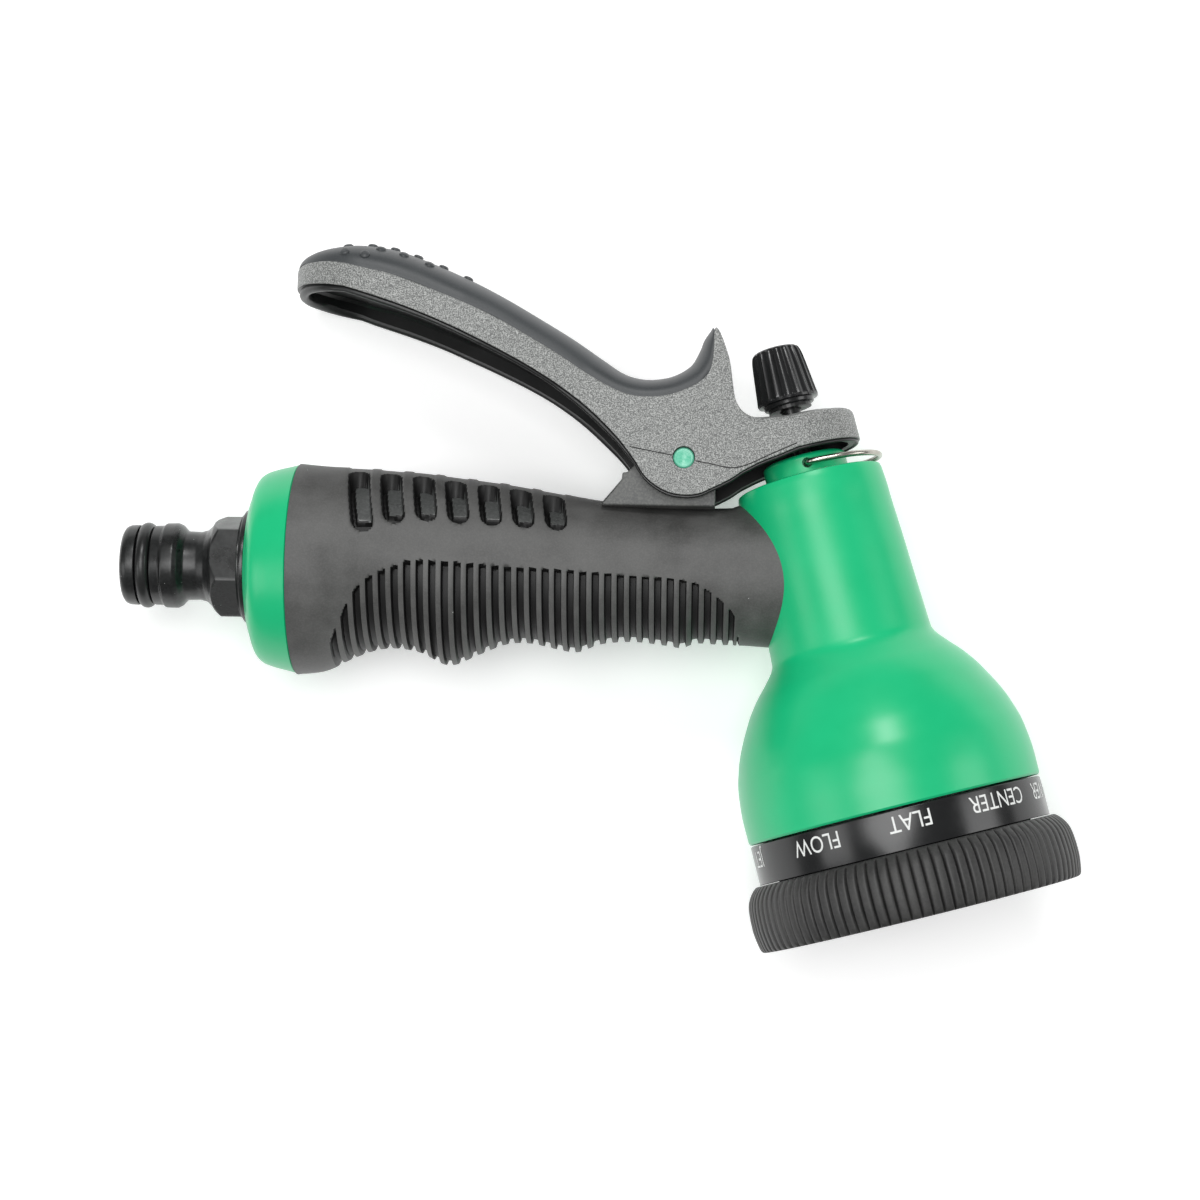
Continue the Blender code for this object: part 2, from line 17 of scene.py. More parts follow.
import bmesh
import bpy
import numpy as np
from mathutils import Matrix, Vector


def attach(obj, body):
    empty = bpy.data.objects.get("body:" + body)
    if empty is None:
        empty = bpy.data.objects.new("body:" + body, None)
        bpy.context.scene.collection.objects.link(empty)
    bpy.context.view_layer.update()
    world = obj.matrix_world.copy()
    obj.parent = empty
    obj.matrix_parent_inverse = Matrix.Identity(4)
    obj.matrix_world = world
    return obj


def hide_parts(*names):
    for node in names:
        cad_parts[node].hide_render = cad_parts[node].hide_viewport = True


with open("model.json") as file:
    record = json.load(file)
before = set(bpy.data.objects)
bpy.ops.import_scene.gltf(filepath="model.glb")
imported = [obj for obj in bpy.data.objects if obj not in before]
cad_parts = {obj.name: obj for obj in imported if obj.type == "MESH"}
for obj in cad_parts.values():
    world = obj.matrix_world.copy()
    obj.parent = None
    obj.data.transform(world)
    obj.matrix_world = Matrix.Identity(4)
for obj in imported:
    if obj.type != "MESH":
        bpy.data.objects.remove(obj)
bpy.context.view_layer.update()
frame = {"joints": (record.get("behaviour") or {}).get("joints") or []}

LOG = logging.getLogger("hose_spray_nozzle")
MM = 0.001
MERGE = 1e-6  # corners nearer than this are one corner, in metres
STEPS_PER_SPAN = 24  # steps between two given points of a smooth line
CREASE = 35.0  # an edge past this angle stays sharp, in degrees
CAP_HEIGHT = 0.73  # capital height of the built-in font, as a share of its size
DUST = "#C9CCCB"
SPECK_REACH = 0.055  # radius of a dust speck, as a share of the specks' spacing
Points = np.ndarray


class Body(str, Enum):
    """Moving bodies of the nozzle."""

    HOUSING = "housing"
    LEVER = "lever"
    STEM = "stem"
    KNOB = "knob"
    DIAL = "dial"


class Slot(str, Enum):
    """Finish slots of the record."""

    GREEN = "green_abs"
    RUBBER = "black_rubber"
    BLACK = "black_plastic"
    GREY = "grey_nylon"
    SOFT = "soft_black"
    STEEL = "stainless"
    BRASS = "brass"


@dataclass(frozen=True)
class Space:
    """The nozzle's axes in the row frame.

    Attributes:
        origin: Centre of the spigot's tip, in metres.
        axes: Rows are the directions along the handle, towards the lever and across the handle.
        lean: Angle between the spray axis and the handle's perpendicular, in degrees.
        crossing: Distance from the spigot's tip to the spray axis, in millimetres.
    """

    origin: Points
    axes: Points
    lean: float = 15.1
    crossing: float = 146.7

    @classmethod
    def from_joints(cls, joints: Sequence[dict], pin_xy: tuple[float, float]) -> "Space":
        """Work the axes out from the lever's hinge and the turning spray head.

        Args:
            joints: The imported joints.
            pin_xy: Where the lever's pin lies in the nozzle's plane, in millimetres.

        Returns:
            The nozzle's space.
        """
        found = {joint["name"]: joint for joint in joints}
        across = np.array(found["lever_hinge"]["axis"], float)
        across /= np.linalg.norm(across)
        spray = np.array(found["spray_head_turn"]["axis"], float)
        spray -= across * (spray @ across)
        spray /= np.linalg.norm(spray)
        outward = np.cross(across, spray)
        a = math.radians(cls.lean)
        along = math.cos(a) * outward + math.sin(a) * spray
        to_lever = math.sin(a) * outward - math.cos(a) * spray
        pin = np.array(found["lever_hinge"]["pos_m"], float)
        origin = pin - MM * (pin_xy[0] * along + pin_xy[1] * to_lever)
        return cls(origin, np.stack([along, to_lever, across]))

    def gun(self, points: Points) -> Points:
        """Nozzle-plane points in millimetres, as row-frame points in metres."""
        return self.origin + MM * np.asarray(points, float) @ self.axes

    def inlet(self, points: Points) -> Points:
        """Points of (towards lever, across, along the handle), as row-frame points."""
        return self.gun(np.asarray(points, float)[..., [2, 0, 1]])

    def bell_to_gun(self, points: Points) -> Points:
        """Points of (outward, across, along the spray axis), in the nozzle's plane."""
        r, across, s = np.moveaxis(np.asarray(points, float), -1, 0)
        a = math.radians(self.lean)
        x = self.crossing + r * math.cos(a) + s * math.sin(a)
        return np.stack([x, r * math.sin(a) - s * math.cos(a), across], -1)

    def bell(self, points: Points) -> Points:
        """Points of (outward, across, along the spray axis), as row-frame points."""
        return self.gun(self.bell_to_gun(points))


PIN_XY = (115.8, 22.2)
SPACE = Space.from_joints(frame["joints"], PIN_XY)


def through_rows(rows: Sequence[Sequence[float]], per_span: int) -> Points:
    """Catmull-Rom blend of whole rows of numbers, with the same count of steps between each two rows."""
    p = np.asarray(rows, float)
    p = np.vstack([2 * p[0] - p[1], p, 2 * p[-1] - p[-2]])
    t = np.linspace(0, 1, per_span, endpoint=False)[None, :, None]
    a, b, c, d = (p[i : len(p) - 3 + i, None, :] for i in range(4))
    spans = 0.5 * (2 * b + (c - a) * t + (2 * a - 5 * b + 4 * c - d) * t**2 + (3 * b - a - 3 * c + d) * t**3)
    return np.vstack([spans.reshape(-1, p.shape[1]), p[-2:-1]])


def smooth_line(points: Sequence[Sequence[float]], count: int) -> Points:
    """Catmull-Rom curve through the points, resampled at equal steps of its length.

    Args:
        points: Points that the curve passes through.
        count: How many points to return.

    Returns:
        Array of count points.
    """
    dense = through_rows(points, STEPS_PER_SPAN)
    steps = np.r_[0, np.cumsum(np.linalg.norm(np.diff(dense, axis=0), axis=1))]
    want = np.linspace(0, steps[-1], count)
    return np.stack([np.interp(want, steps, column) for column in dense.T], 1)


def eased(profile: Sequence[Sequence[float]], radius: float, steps: int = 4, ring: bool = True) -> Points:
    """Round each corner of a profile by a quadratic blend.

    Args:
        profile: Corner points.
        radius: How far along each side the blend starts, at most 45% of the side.
        steps: Points in each blend.
        ring: True if the profile closes on itself.

    Returns:
        The profile with rounded corners.
    """
    p = np.asarray(profile, float)
    before, after = np.roll(p, 1, 0) - p, np.roll(p, -1, 0) - p
    lengths = [np.linalg.norm(side, axis=1, keepdims=True) for side in (before, after)]
    cuts = [side * np.minimum(radius / size, 0.45) for side, size in zip((before, after), lengths)]
    if not ring:
        for cut in cuts:
            cut[[0, -1]] = 0
    t = np.linspace(0, 1, steps)[None, :, None]
    start, end = (p + cuts[0])[:, None], (p + cuts[1])[:, None]
    blend = (1 - t) ** 2 * start + 2 * t * (1 - t) * p[:, None] + t**2 * end
    return blend.reshape(-1, p.shape[1])


def turn_angles(steps: int) -> Points:
    """Equal angles of one full turn, the end left out."""
    return np.linspace(0, 2 * math.pi, steps, endpoint=False)


def turned(profile: Points, steps: int, shift: tuple[float, float] = (0.0, 0.0)) -> Points:
    """Turn a profile of (radius, distance) round its axis: (r cos a, r sin a, s).

    Args:
        profile: Rows of (radius, distance along the axis).
        steps: Columns round the axis.
        shift: Where the axis lies across the plane.

    Returns:
        Grid of points, one row for each profile point.
    """
    a = turn_angles(steps)[None, :]
    r, s = np.asarray(profile, float).T[:, :, None]
    return np.stack([r * np.cos(a) + shift[0], r * np.sin(a) + shift[1], s + 0 * a], -1)


def quads(rows: int, columns: int, wrap_rows: bool, wrap_columns: bool) -> Points:
    """Corner numbers of the quads over a grid of rows and columns.

    Args:
        rows: Rows in the grid.
        columns: Columns in the grid.
        wrap_rows: True if the last row joins the first.
        wrap_columns: True if the last column joins the first.

    Returns:
        Array of four corner numbers for each quad.
    """
    i = np.arange(rows if wrap_rows else rows - 1)[:, None]
    j = np.arange(columns if wrap_columns else columns - 1)[None, :]
    down, right = (i + 1) % rows, (j + 1) % columns
    corners = [i * columns + j, i * columns + right, down * columns + right, down * columns + j]
    return np.stack([np.broadcast_to(corner, (i.size, j.size)) for corner in corners], -1).reshape(-1, 4)


@dataclass
class Skin:
    """Points and faces of one surface, in the row frame.

    Attributes:
        points: Corner points in metres.
        faces: Corner numbers of each face.
        zones: Material number of each face.
    """

    points: Points
    faces: list
    zones: list

    @classmethod
    def grid(
        cls, points: Points, wrap_rows: bool = False, wrap_columns: bool = True, zone: Any = 0
    ) -> "Skin":
        """Skin over a grid of row-frame points.

        Args:
            points: Grid of points, rows by columns.
            wrap_rows: True if the last row joins the first.
            wrap_columns: True if the last column joins the first.
            zone: One material number, or one for each column of faces.

        Returns:
            The skin.
        """
        rows, columns = points.shape[:2]
        faces = quads(rows, columns, wrap_rows, wrap_columns)
        across = columns if wrap_columns else columns - 1
        zones = np.broadcast_to(zone, (len(faces) // across, across)).ravel()
        return cls(points.reshape(-1, 3), faces.tolist(), zones.tolist())

    @classmethod
    def slab(cls, outline: Points, low: float, high: float, edge: float) -> "Skin":
        """Flat outline in the nozzle's plane, thickened across it, with eased rims.

        Args:
            outline: Closed outline of (x, y).
            low: Lower face across the handle.
            high: Upper face across the handle.
            edge: Size of the eased rim.

        Returns:
            The skin.
        """
        side = np.roll(outline, -1, 0) - np.roll(outline, 1, 0)
        inward = np.stack([-side[:, 1], side[:, 0]], 1) / np.linalg.norm(side, axis=1, keepdims=True)
        x, y = outline.T
        if np.sum(x * np.roll(y, -1) - np.roll(x, -1) * y) < 0:
            inward = -inward
        a = np.radians([0, 30, 60, 90])
        inset = edge * (1 - np.r_[np.cos(a[::-1]), np.cos(a)])
        level = np.r_[low + edge * (1 - np.sin(a[::-1])), high - edge * (1 - np.sin(a))]
        rings = outline[None] + inward[None] * inset[:, None, None]
        grid = np.concatenate([rings, np.broadcast_to(level[:, None, None], (*rings.shape[:2], 1))], -1)
        made = cls.grid(SPACE.gun(grid))
        n = len(outline)
        made.faces += [list(range(n))[::-1], list(range(len(made.points) - n, len(made.points)))]
        made.zones += [0, 0]
        return made


def bell_skin(grid: Points, ring: bool = True) -> Skin:
    """Skin over a grid given round the spray axis; its section closes on itself if ring is True."""
    return Skin.grid(SPACE.bell(grid), wrap_rows=ring)


def inlet_skin(grid: Points) -> Skin:
    """Skin over a grid given round the handle's axis, whose section closes on itself."""
    return Skin.grid(SPACE.inlet(grid), wrap_rows=True)


def tube(route: Points, radius: float, around: int = 16) -> Points:
    """Circle carried along a route: each ring lies square to the route, turned by a fixed reference
    direction.

    Args:
        route: Points of the centre line.
        radius: Radius of the tube.
        around: Points in each ring.

    Returns:
        Grid of points with a closed end at both ends.
    """
    run = np.gradient(route, axis=0)
    run /= np.linalg.norm(run, axis=1, keepdims=True)
    side = np.cross(run, np.array([0.0, 0.0, 1.0]) + 1e-4)
    side /= np.linalg.norm(side, axis=1, keepdims=True)
    up = np.cross(side, run)
    a = turn_angles(around)[None, :, None]
    rings = route[:, None] + radius * (np.cos(a) * side[:, None] + np.sin(a) * up[:, None])
    ends = [np.broadcast_to(route[k], (1, around, 3)) for k in (0, -1)]
    return np.concatenate([ends[0], rings, ends[1]])


def mesh_of(name: str, skins: Sequence[Skin], crease: float) -> bpy.types.Mesh:
    """One welded mesh from several skins, faces outwards.

    Args:
        name: Name of the mesh.
        skins: Surfaces to join.
        crease: Angle in degrees past which an edge stays sharp.

    Returns:
        The mesh.
    """
    shape = bmesh.new()
    for skin in skins:
        part = bpy.data.meshes.new("part")
        part.from_pydata(skin.points.tolist(), [], skin.faces)
        part.polygons.foreach_set("material_index", skin.zones)
        shape.from_mesh(part)
        bpy.data.meshes.remove(part)
    bmesh.ops.remove_doubles(shape, verts=shape.verts, dist=MERGE)
    bmesh.ops.dissolve_degenerate(shape, edges=shape.edges, dist=MERGE)
    bmesh.ops.recalc_face_normals(shape, faces=shape.faces)
    mesh = bpy.data.meshes.new(name)
    shape.to_mesh(mesh)
    shape.free()
    mesh.polygons.foreach_set("use_smooth", [True] * len(mesh.polygons))
    mesh.set_sharp_from_angle(angle=math.radians(crease))
    return mesh


def cut(obj: bpy.types.Object, skins: Sequence[Skin]) -> None:
    """Cut closed skins out of an object by one exact Boolean, and keep the result as its mesh.

    Args:
        obj: The object that loses material.
        skins: Closed surfaces of what is taken away.
    """
    tool = bpy.data.objects.new("tool", mesh_of("tool", skins, 30))
    bpy.context.scene.collection.objects.link(tool)
    step = obj.modifiers.new("cut", "BOOLEAN")
    step.operation = "DIFFERENCE"
    step.solver = "EXACT"
    step.object = tool
    bpy.context.view_layer.update()
    depsgraph = bpy.context.evaluated_depsgraph_get()
    result = bpy.data.meshes.new_from_object(obj.evaluated_get(depsgraph))
    obj.modifiers.clear()
    old = obj.data
    obj.data = result
    result.name = obj.name
    result.set_sharp_from_angle(angle=math.radians(CREASE))
    bpy.data.meshes.remove(old)
    bpy.data.objects.remove(tool)


def rod(
    radius: float, low: float, high: float, shift: tuple[float, float] = (0, 0), steps: int = 24
) -> Points:
    """Closed round bar from low to high along its axis, as a grid."""
    return turned(np.array([(0, low), (radius, low), (radius, high), (0, high)]), steps, shift)


@dataclass
class Workshop:
    """Makes the pieces, and keeps the finishes that they share."""

    finishes: dict
    count: int = 0

    def piece(
        self,
        name: str,
        skins: Sequence[Skin],
        looks: Sequence[str],
        body: Body,
        replaces: Sequence[str] = (),
        crease: float = CREASE,
    ) -> bpy.types.Object:
        """Make one visible piece.

        Args:
            name: Name of the piece.
            skins: Its surfaces.
            looks: Keys of its finishes, by zone number.
            body: The body that it rides on.
            replaces: CAD nodes that it stands for.
            crease: Angle in degrees past which an edge stays sharp.

        Returns:
            The object.
        """
        obj = bpy.data.objects.new(name, mesh_of(name, skins, crease))
        bpy.context.scene.collection.objects.link(obj)
        for look in looks:
            obj.data.materials.append(self.finishes[look])
        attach(obj, body.value)
        if replaces:
            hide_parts(*replaces)
        self.count += 1
        LOG.info("%-22s %6d faces on %s", name, len(obj.data.polygons), body.value)
        return obj


def linear(colour: str) -> tuple[float, float, float, float]:
    """Turn an sRGB hex colour into linear RGBA."""
    channel = np.array([int(colour[i : i + 2], 16) for i in (1, 3, 5)]) / 255
    value = np.where(channel <= 0.04045, channel / 12.92, ((channel + 0.055) / 1.055) ** 2.4)
    return (*value.tolist(), 1.0)


def add(tree: bpy.types.NodeTree, kind: str, inputs: dict | None = None, **settings: Any) -> bpy.types.Node:
    """Add one node with its settings and links.

    Args:
        tree: The node tree.
        kind: Type name of the node.
        inputs: Socket name or number to a value, or to an output socket that is linked to it.
        **settings: Properties of the node.

    Returns:
        The node.
    """
    made = tree.nodes.new(kind)
    for key, value in settings.items():
        setattr(made, key, value)
    for key, value in (inputs or {}).items():
        if isinstance(value, bpy.types.NodeSocket):
            tree.links.new(value, made.inputs[key])
        else:
            made.inputs[key].default_value = value
    return made


def noise(tree: bpy.types.NodeTree, place: Any, size_mm: float, detail: float, rough: float) -> Any:
    """Noise of a real size, as an output socket."""
    inputs = {"Vector": place, "Scale": 1 / (size_mm * MM), "Detail": detail, "Roughness": rough}
    return add(tree, "ShaderNodeTexNoise", inputs).outputs[0]


def spread(tree: bpy.types.NodeTree, value: Any, old: tuple, new: tuple, clamp: bool = True) -> Any:
    """Value stretched from its old range to a new one, as an output socket."""
    inputs = {0: value, 1: old[0], 2: old[1], 3: new[0], 4: new[1]}
    return add(tree, "ShaderNodeMapRange", inputs, clamp=clamp).outputs[0]


def blend(tree: bpy.types.NodeTree, share: Any, first: Any, second: Any) -> Any:
    """Mix of two colours by a share, as an output socket."""
    return add(tree, "ShaderNodeMix", {0: share, 6: first, 7: second}, data_type="RGBA").outputs[2]


def maths(tree: bpy.types.NodeTree, operation: str, first: Any, second: Any) -> Any:
    """Sum, product or comparison of two values, as an output socket."""
    return add(tree, "ShaderNodeMath", {0: first, 1: second}, operation=operation).outputs[0]


@dataclass(frozen=True)
class Finish:
    """One moulded, turned or drawn surface.

    Attributes:
        name: What the real material is and how its surface was made.
        colour: Main colour, sRGB hex.
        shade: Colour of its darker patches.
        glint: Colour of grains that catch the light, or of rubbed spots.
        roughness: Roughness of the clean surface.
        rough_spread: How far the roughness wanders.
        grain_mm: Size of one grain of the surface.
        grain_depth_mm: Height of the grain.
        grain_tint: How much the grains take the glint colour.
        patch_mm: Size of its colour patches.
        specks: Share of the surface that holds dust specks, 0 to 1.
        speck_mm: Spacing of the dust specks.
        metallic: 1 for a metal.
        ior: Index of refraction.
        coat: Clear gloss over the surface.
    """

    name: str
    colour: str
    shade: str
    glint: str
    roughness: float
    rough_spread: float = 0.05
    grain_mm: float = 0.5
    grain_depth_mm: float = 0.01
    grain_tint: float = 0.0
    patch_mm: float = 12.0
    specks: float = 0.0
    speck_mm: float = 2.2
    metallic: float = 0.0
    ior: float = 1.5
    coat: float = 0.0

    def build(self) -> bpy.types.Material:
        """Build the finish's material: patches, grain, dust specks, roughness and bump.

        Returns:
            The material.
        """
        material = bpy.data.materials.new(self.name)
        material.use_nodes = True
        tree = material.node_tree
        tree.nodes.clear()
        place = add(tree, "ShaderNodeTexCoord").outputs["Object"]
        patches = noise(tree, place, self.patch_mm, 4.0, 0.6)
        grain = noise(tree, place, self.grain_mm, 2.0, 0.55)
        patch_share = spread(tree, patches, (0.35, 0.68), (0.0, 1.0))
        grain_share = spread(tree, grain, (0.42, 0.66), (0.0, self.grain_tint))
        patched = blend(tree, patch_share, linear(self.shade), linear(self.colour))
        grained = blend(tree, grain_share, patched, linear(self.glint))
        cell_inputs = {"Vector": place, "Scale": 1 / (self.speck_mm * MM), "Randomness": 1.0}
        cells = add(tree, "ShaderNodeTexVoronoi", cell_inputs).outputs
        chosen = maths(tree, "LESS_THAN", cells["Color"], self.specks)
        near = maths(tree, "LESS_THAN", cells["Distance"], SPECK_REACH)
        dusted = blend(tree, maths(tree, "MULTIPLY", chosen, near), grained, linear(DUST))
        rough = (self.roughness - self.rough_spread, self.roughness + self.rough_spread)
        bump_inputs = {"Height": grain, "Strength": 1.0, "Distance": self.grain_depth_mm * MM}
        surface = {
            "Base Color": dusted,
            "Roughness": spread(tree, patches, (0.3, 0.7), rough),
            "Normal": add(tree, "ShaderNodeBump", bump_inputs).outputs[0],
            "Metallic": self.metallic,
            "IOR": self.ior,
            "Coat Weight": self.coat,
            "Coat Roughness": 0.12,
        }
        shader = add(tree, "ShaderNodeBsdfPrincipled", surface)
        add(tree, "ShaderNodeOutputMaterial", {"Surface": shader.outputs[0]})
        return material


# Injection-moulded ABS straight from a polished tool: satin, even green with a faint cloudiness.
GREEN_ABS = Finish(
    "satin_moulded_green_abs", "#0ABB7B", "#08B374", "#2FC08A", 0.33,
    grain_mm=0.35, grain_depth_mm=0.004, grain_tint=0.05, patch_mm=25, specks=0.03,
)
# Over-moulded TPE: matt charcoal with random lighter patches, partly rubbed wear and partly painted sheen,
# with pale dust that clings.
GRIP_TPE = Finish(
    "matt_overmoulded_tpe", "#565655", "#3C3C3B", "#7A7A78", 0.50,
    rough_spread=0.08, grain_mm=0.35, grain_depth_mm=0.005, grain_tint=0.12, patch_mm=11,
    specks=0.16, speck_mm=1.9,
)
# The same TPE in the finger grooves and on the slot walls, coloured nearly black as painted shade for these
# recesses.
RECESS_SHADE_TPE = Finish(
    "painted_shade_recess_tpe", "#121212", "#0E0E0E", "#222222", 0.55,
    grain_mm=0.35, grain_depth_mm=0.004, grain_tint=0.1, patch_mm=6, specks=0.08, speck_mm=1.9,
)
# The floor of the hand slots: the same TPE, glossier, painted lighter than the sleeve for the light that the
# upturned floor catches.
FLOOR_LIGHT_TPE = Finish(
    "glossy_painted_light_slot_floor_tpe", "#565857", "#484A49", "#7C7E7D", 0.30,
    rough_spread=0.06, grain_mm=0.5, grain_depth_mm=0.004, grain_tint=0.2, patch_mm=8,
)
# Bare polyacetal of the pin: paler than the moulding round it, with a milky depth.
PIN_ACETAL = Finish(
    "milky_green_acetal_pin", "#6CC7A8", "#56B997", "#9ADBC4", 0.30,
    grain_mm=0.3, grain_depth_mm=0.006, grain_tint=0.3, patch_mm=1.2,
)
# The same TPE in the ribs of the spray head, a little cleaner and shinier on top.
RIB_TPE = Finish(
    "ribbed_moulded_tpe", "#30302F", "#232323", "#5A5A58", 0.50,
    grain_mm=0.5, grain_depth_mm=0.006, grain_tint=0.10, patch_mm=8, specks=0.12, speck_mm=1.8,
)
# Glass-filled nylon from a spark-eroded tool: charcoal with a coarse grain whose tops catch the light.
GRAINED_NYLON = Finish(
    "spark_grained_glass_filled_nylon", "#5D5F5E", "#525453", "#CCCECB", 0.48,
    grain_mm=0.23, grain_depth_mm=0.03, grain_tint=0.65, patch_mm=14, specks=0.04,
)
# The same nylon, smoother, inside the channel and on its rim, coloured near-black as painted shade; the mould
# lines take it as dark seams.
SHADE_AND_SEAM_NYLON = Finish(
    "moulded_nylon_painted_shade_and_seams", "#1B1C1C", "#151616", "#303131", 0.38,
    grain_mm=0.5, grain_depth_mm=0.004, patch_mm=12,
)
# Bracket moulding, flat and slightly frosted.
BRACKET_NYLON = Finish(
    "frosted_moulded_nylon", "#5A5B5A", "#484949", "#83847F", 0.52,
    grain_mm=0.45, grain_depth_mm=0.02, grain_tint=0.3, patch_mm=7,
)
# Soft-touch thermoplastic over the lever's back: fine satin, darker than the grain beside it.
SOFT_PAD = Finish(
    "soft_touch_moulded_tpe", "#3D4042", "#343739", "#5B5F61", 0.46,
    grain_mm=0.3, grain_depth_mm=0.004, grain_tint=0.12, patch_mm=16, specks=0.03,
)
# Polished black ABS with a wet gloss.
GLOSS_ABS = Finish(
    "polished_moulded_black_abs", "#151617", "#101112", "#2A2C2D", 0.22,
    rough_spread=0.04, grain_mm=0.8, grain_depth_mm=0.002, patch_mm=10, specks=0.05,
)
# Acetal of the snap-in spigot: black, waxy half gloss with handling marks and dust.
SPIGOT_ACETAL = Finish(
    "half_gloss_black_acetal", "#111313", "#0C0D0D", "#4A4C4C", 0.30,
    rough_spread=0.08, grain_mm=0.7, grain_depth_mm=0.006, grain_tint=0.10, patch_mm=5,
    specks=0.30, speck_mm=1.1,
)
# Nitrile O-ring, greased.
O_RING = Finish(
    "greased_nitrile_rubber", "#191A1A", "#111212", "#303131", 0.34,
    grain_mm=0.4, grain_depth_mm=0.004, patch_mm=3,
)
# Spring wire, drawn and bright.
DRAWN_STEEL = Finish(
    "drawn_stainless_spring_wire", "#B9B6AE", "#9A968D", "#D8D6D0", 0.24,
    grain_mm=0.3, grain_depth_mm=0.002, grain_tint=0.2, patch_mm=4, metallic=1,
)
# Turned brass of the water valve.
TURNED_BRASS = Finish(
    "turned_brass", "#C89B4A", "#AE8238", "#E3C078", 0.28,
    grain_mm=0.3, grain_depth_mm=0.002, grain_tint=0.2, patch_mm=4, metallic=1,
)
# Pad-printed white ink, slightly chalky.
WHITE_INK = Finish(
    "pad_printed_white_ink", "#E4E6E4", "#D3D6D4", "#F2F3F2", 0.5,
    grain_mm=0.25, grain_depth_mm=0.002, grain_tint=0.3, patch_mm=3,
)


FINISHES = {
    # The groove finish is painted shade in the sleeve's recesses; the pocket finish is painted light on the
    # slot floors.
    "green": GREEN_ABS, "grip": GRIP_TPE, "groove": RECESS_SHADE_TPE, "pocket": FLOOR_LIGHT_TPE, "pin": PIN_ACETAL,
    # The smooth nylon finish is painted shade in the lever's channel, and the dark colour of its mould lines.
    "ribs": RIB_TPE, "nylon": GRAINED_NYLON, "nylon_shade_and_seam": SHADE_AND_SEAM_NYLON, "bracket": BRACKET_NYLON,
    "pad": SOFT_PAD, "gloss": GLOSS_ABS, "spigot": SPIGOT_ACETAL, "o_ring": O_RING, "steel": DRAWN_STEEL,
    "brass": TURNED_BRASS, "ink": WHITE_INK,
}


@dataclass
class NeckAndDome:
    """Green moulding: neck, dome and the handle core inside the grip.

    Attributes:
        neck: Outer wall of the neck, as (radius, distance along the spray axis).
        dome: Outer wall of the dome.
        inside: Inner wall from the mouth back to the neck's top.
        core: Outer radius, bore radius, start and end of the handle core.
    """

    neck: tuple = (
        (15.1, -19.4), (15.35, -16), (15.45, -12), (15.85, -4), (16.1, 3), (16.4, 10), (16.6, 14.2),
    )
    dome: tuple = (
        (16.8, 15.3), (17.6, 16.6), (19.4, 18.7), (21.4, 20.9), (23.5, 23.7), (25.1, 26.4), (26.5, 29.0),
        (27.7, 31.6), (28.6, 34.2), (29.4, 37.0), (29.9, 40.5), (30.15, 44), (30.1, 48.6),
    )
    inside: tuple = (
        (29.8, 49.0), (27.7, 49.0), (27.6, 43), (26.8, 38), (24.6, 31.5), (20.6, 25.2), (15.5, 20.0),
        (10, 16.8), (6.5, 15.0), (6.5, 13.3), (11.6, 13.3), (11.6, -19.9), (11.9, -20.3), (14.5, -20.3),
        (14.9, -20.1),
    )
    core: tuple = (10.2, 7.5, 28.0, 133.0)

    def outer_radius(self, s: Points) -> Points:
        """Radius of the neck's outer wall at distance s along the spray axis."""
        line = np.array(self.neck + self.dome)
        return np.interp(s, line[:, 1], line[:, 0])

    def build(self, shop: Workshop) -> None:
        """Build the moulding and dress it."""
        outer = smooth_line(self.neck + self.dome, 110)
        profile = np.vstack([outer, self.inside])
        shell = bell_skin(turned(profile, 192))
        outer_r, bore, start, end = self.core
        ring = np.array([(bore, start), (outer_r, start), (outer_r, end), (bore, end)])
        core = inlet_skin(turned(ring, 48))
        shop.piece("neck_and_dome", [shell, core], ["green"], Body.HOUSING, ["body_shell"])


@dataclass
class EndCap:
    """Green ring at the rear of the handle, bulging like a shallow bowl.

    Attributes:
        centre_y: Where the ring's axis lies in the nozzle's plane.
        wall: Outer wall, as (radius, distance along the handle).
        hidden: Inner wall, back to the start of the outer one.
    """

    centre_y: float = -0.3
    wall: tuple = (
        (12.2, 27.3), (14.6, 27.8), (16.3, 28.4), (17.8, 28.9), (19.0, 29.7), (19.8, 31.0), (20.45, 33.0),
        (21.0, 35.3), (21.4, 37.0),
    )
    hidden: tuple = ((21.2, 37.2), (11.3, 37.2), (11.3, 27.5), (11.6, 27.3))

    def build(self, shop: Workshop) -> None:
        """Build the cap and dress it."""
        profile = np.vstack([smooth_line(self.wall, 60), self.hidden])
        grid = turned(profile, 192, (self.centre_y, 0.0))
        skin = inlet_skin(grid)
        shop.piece("rear_cap", [skin], ["green"], Body.HOUSING, ["end_cap"])


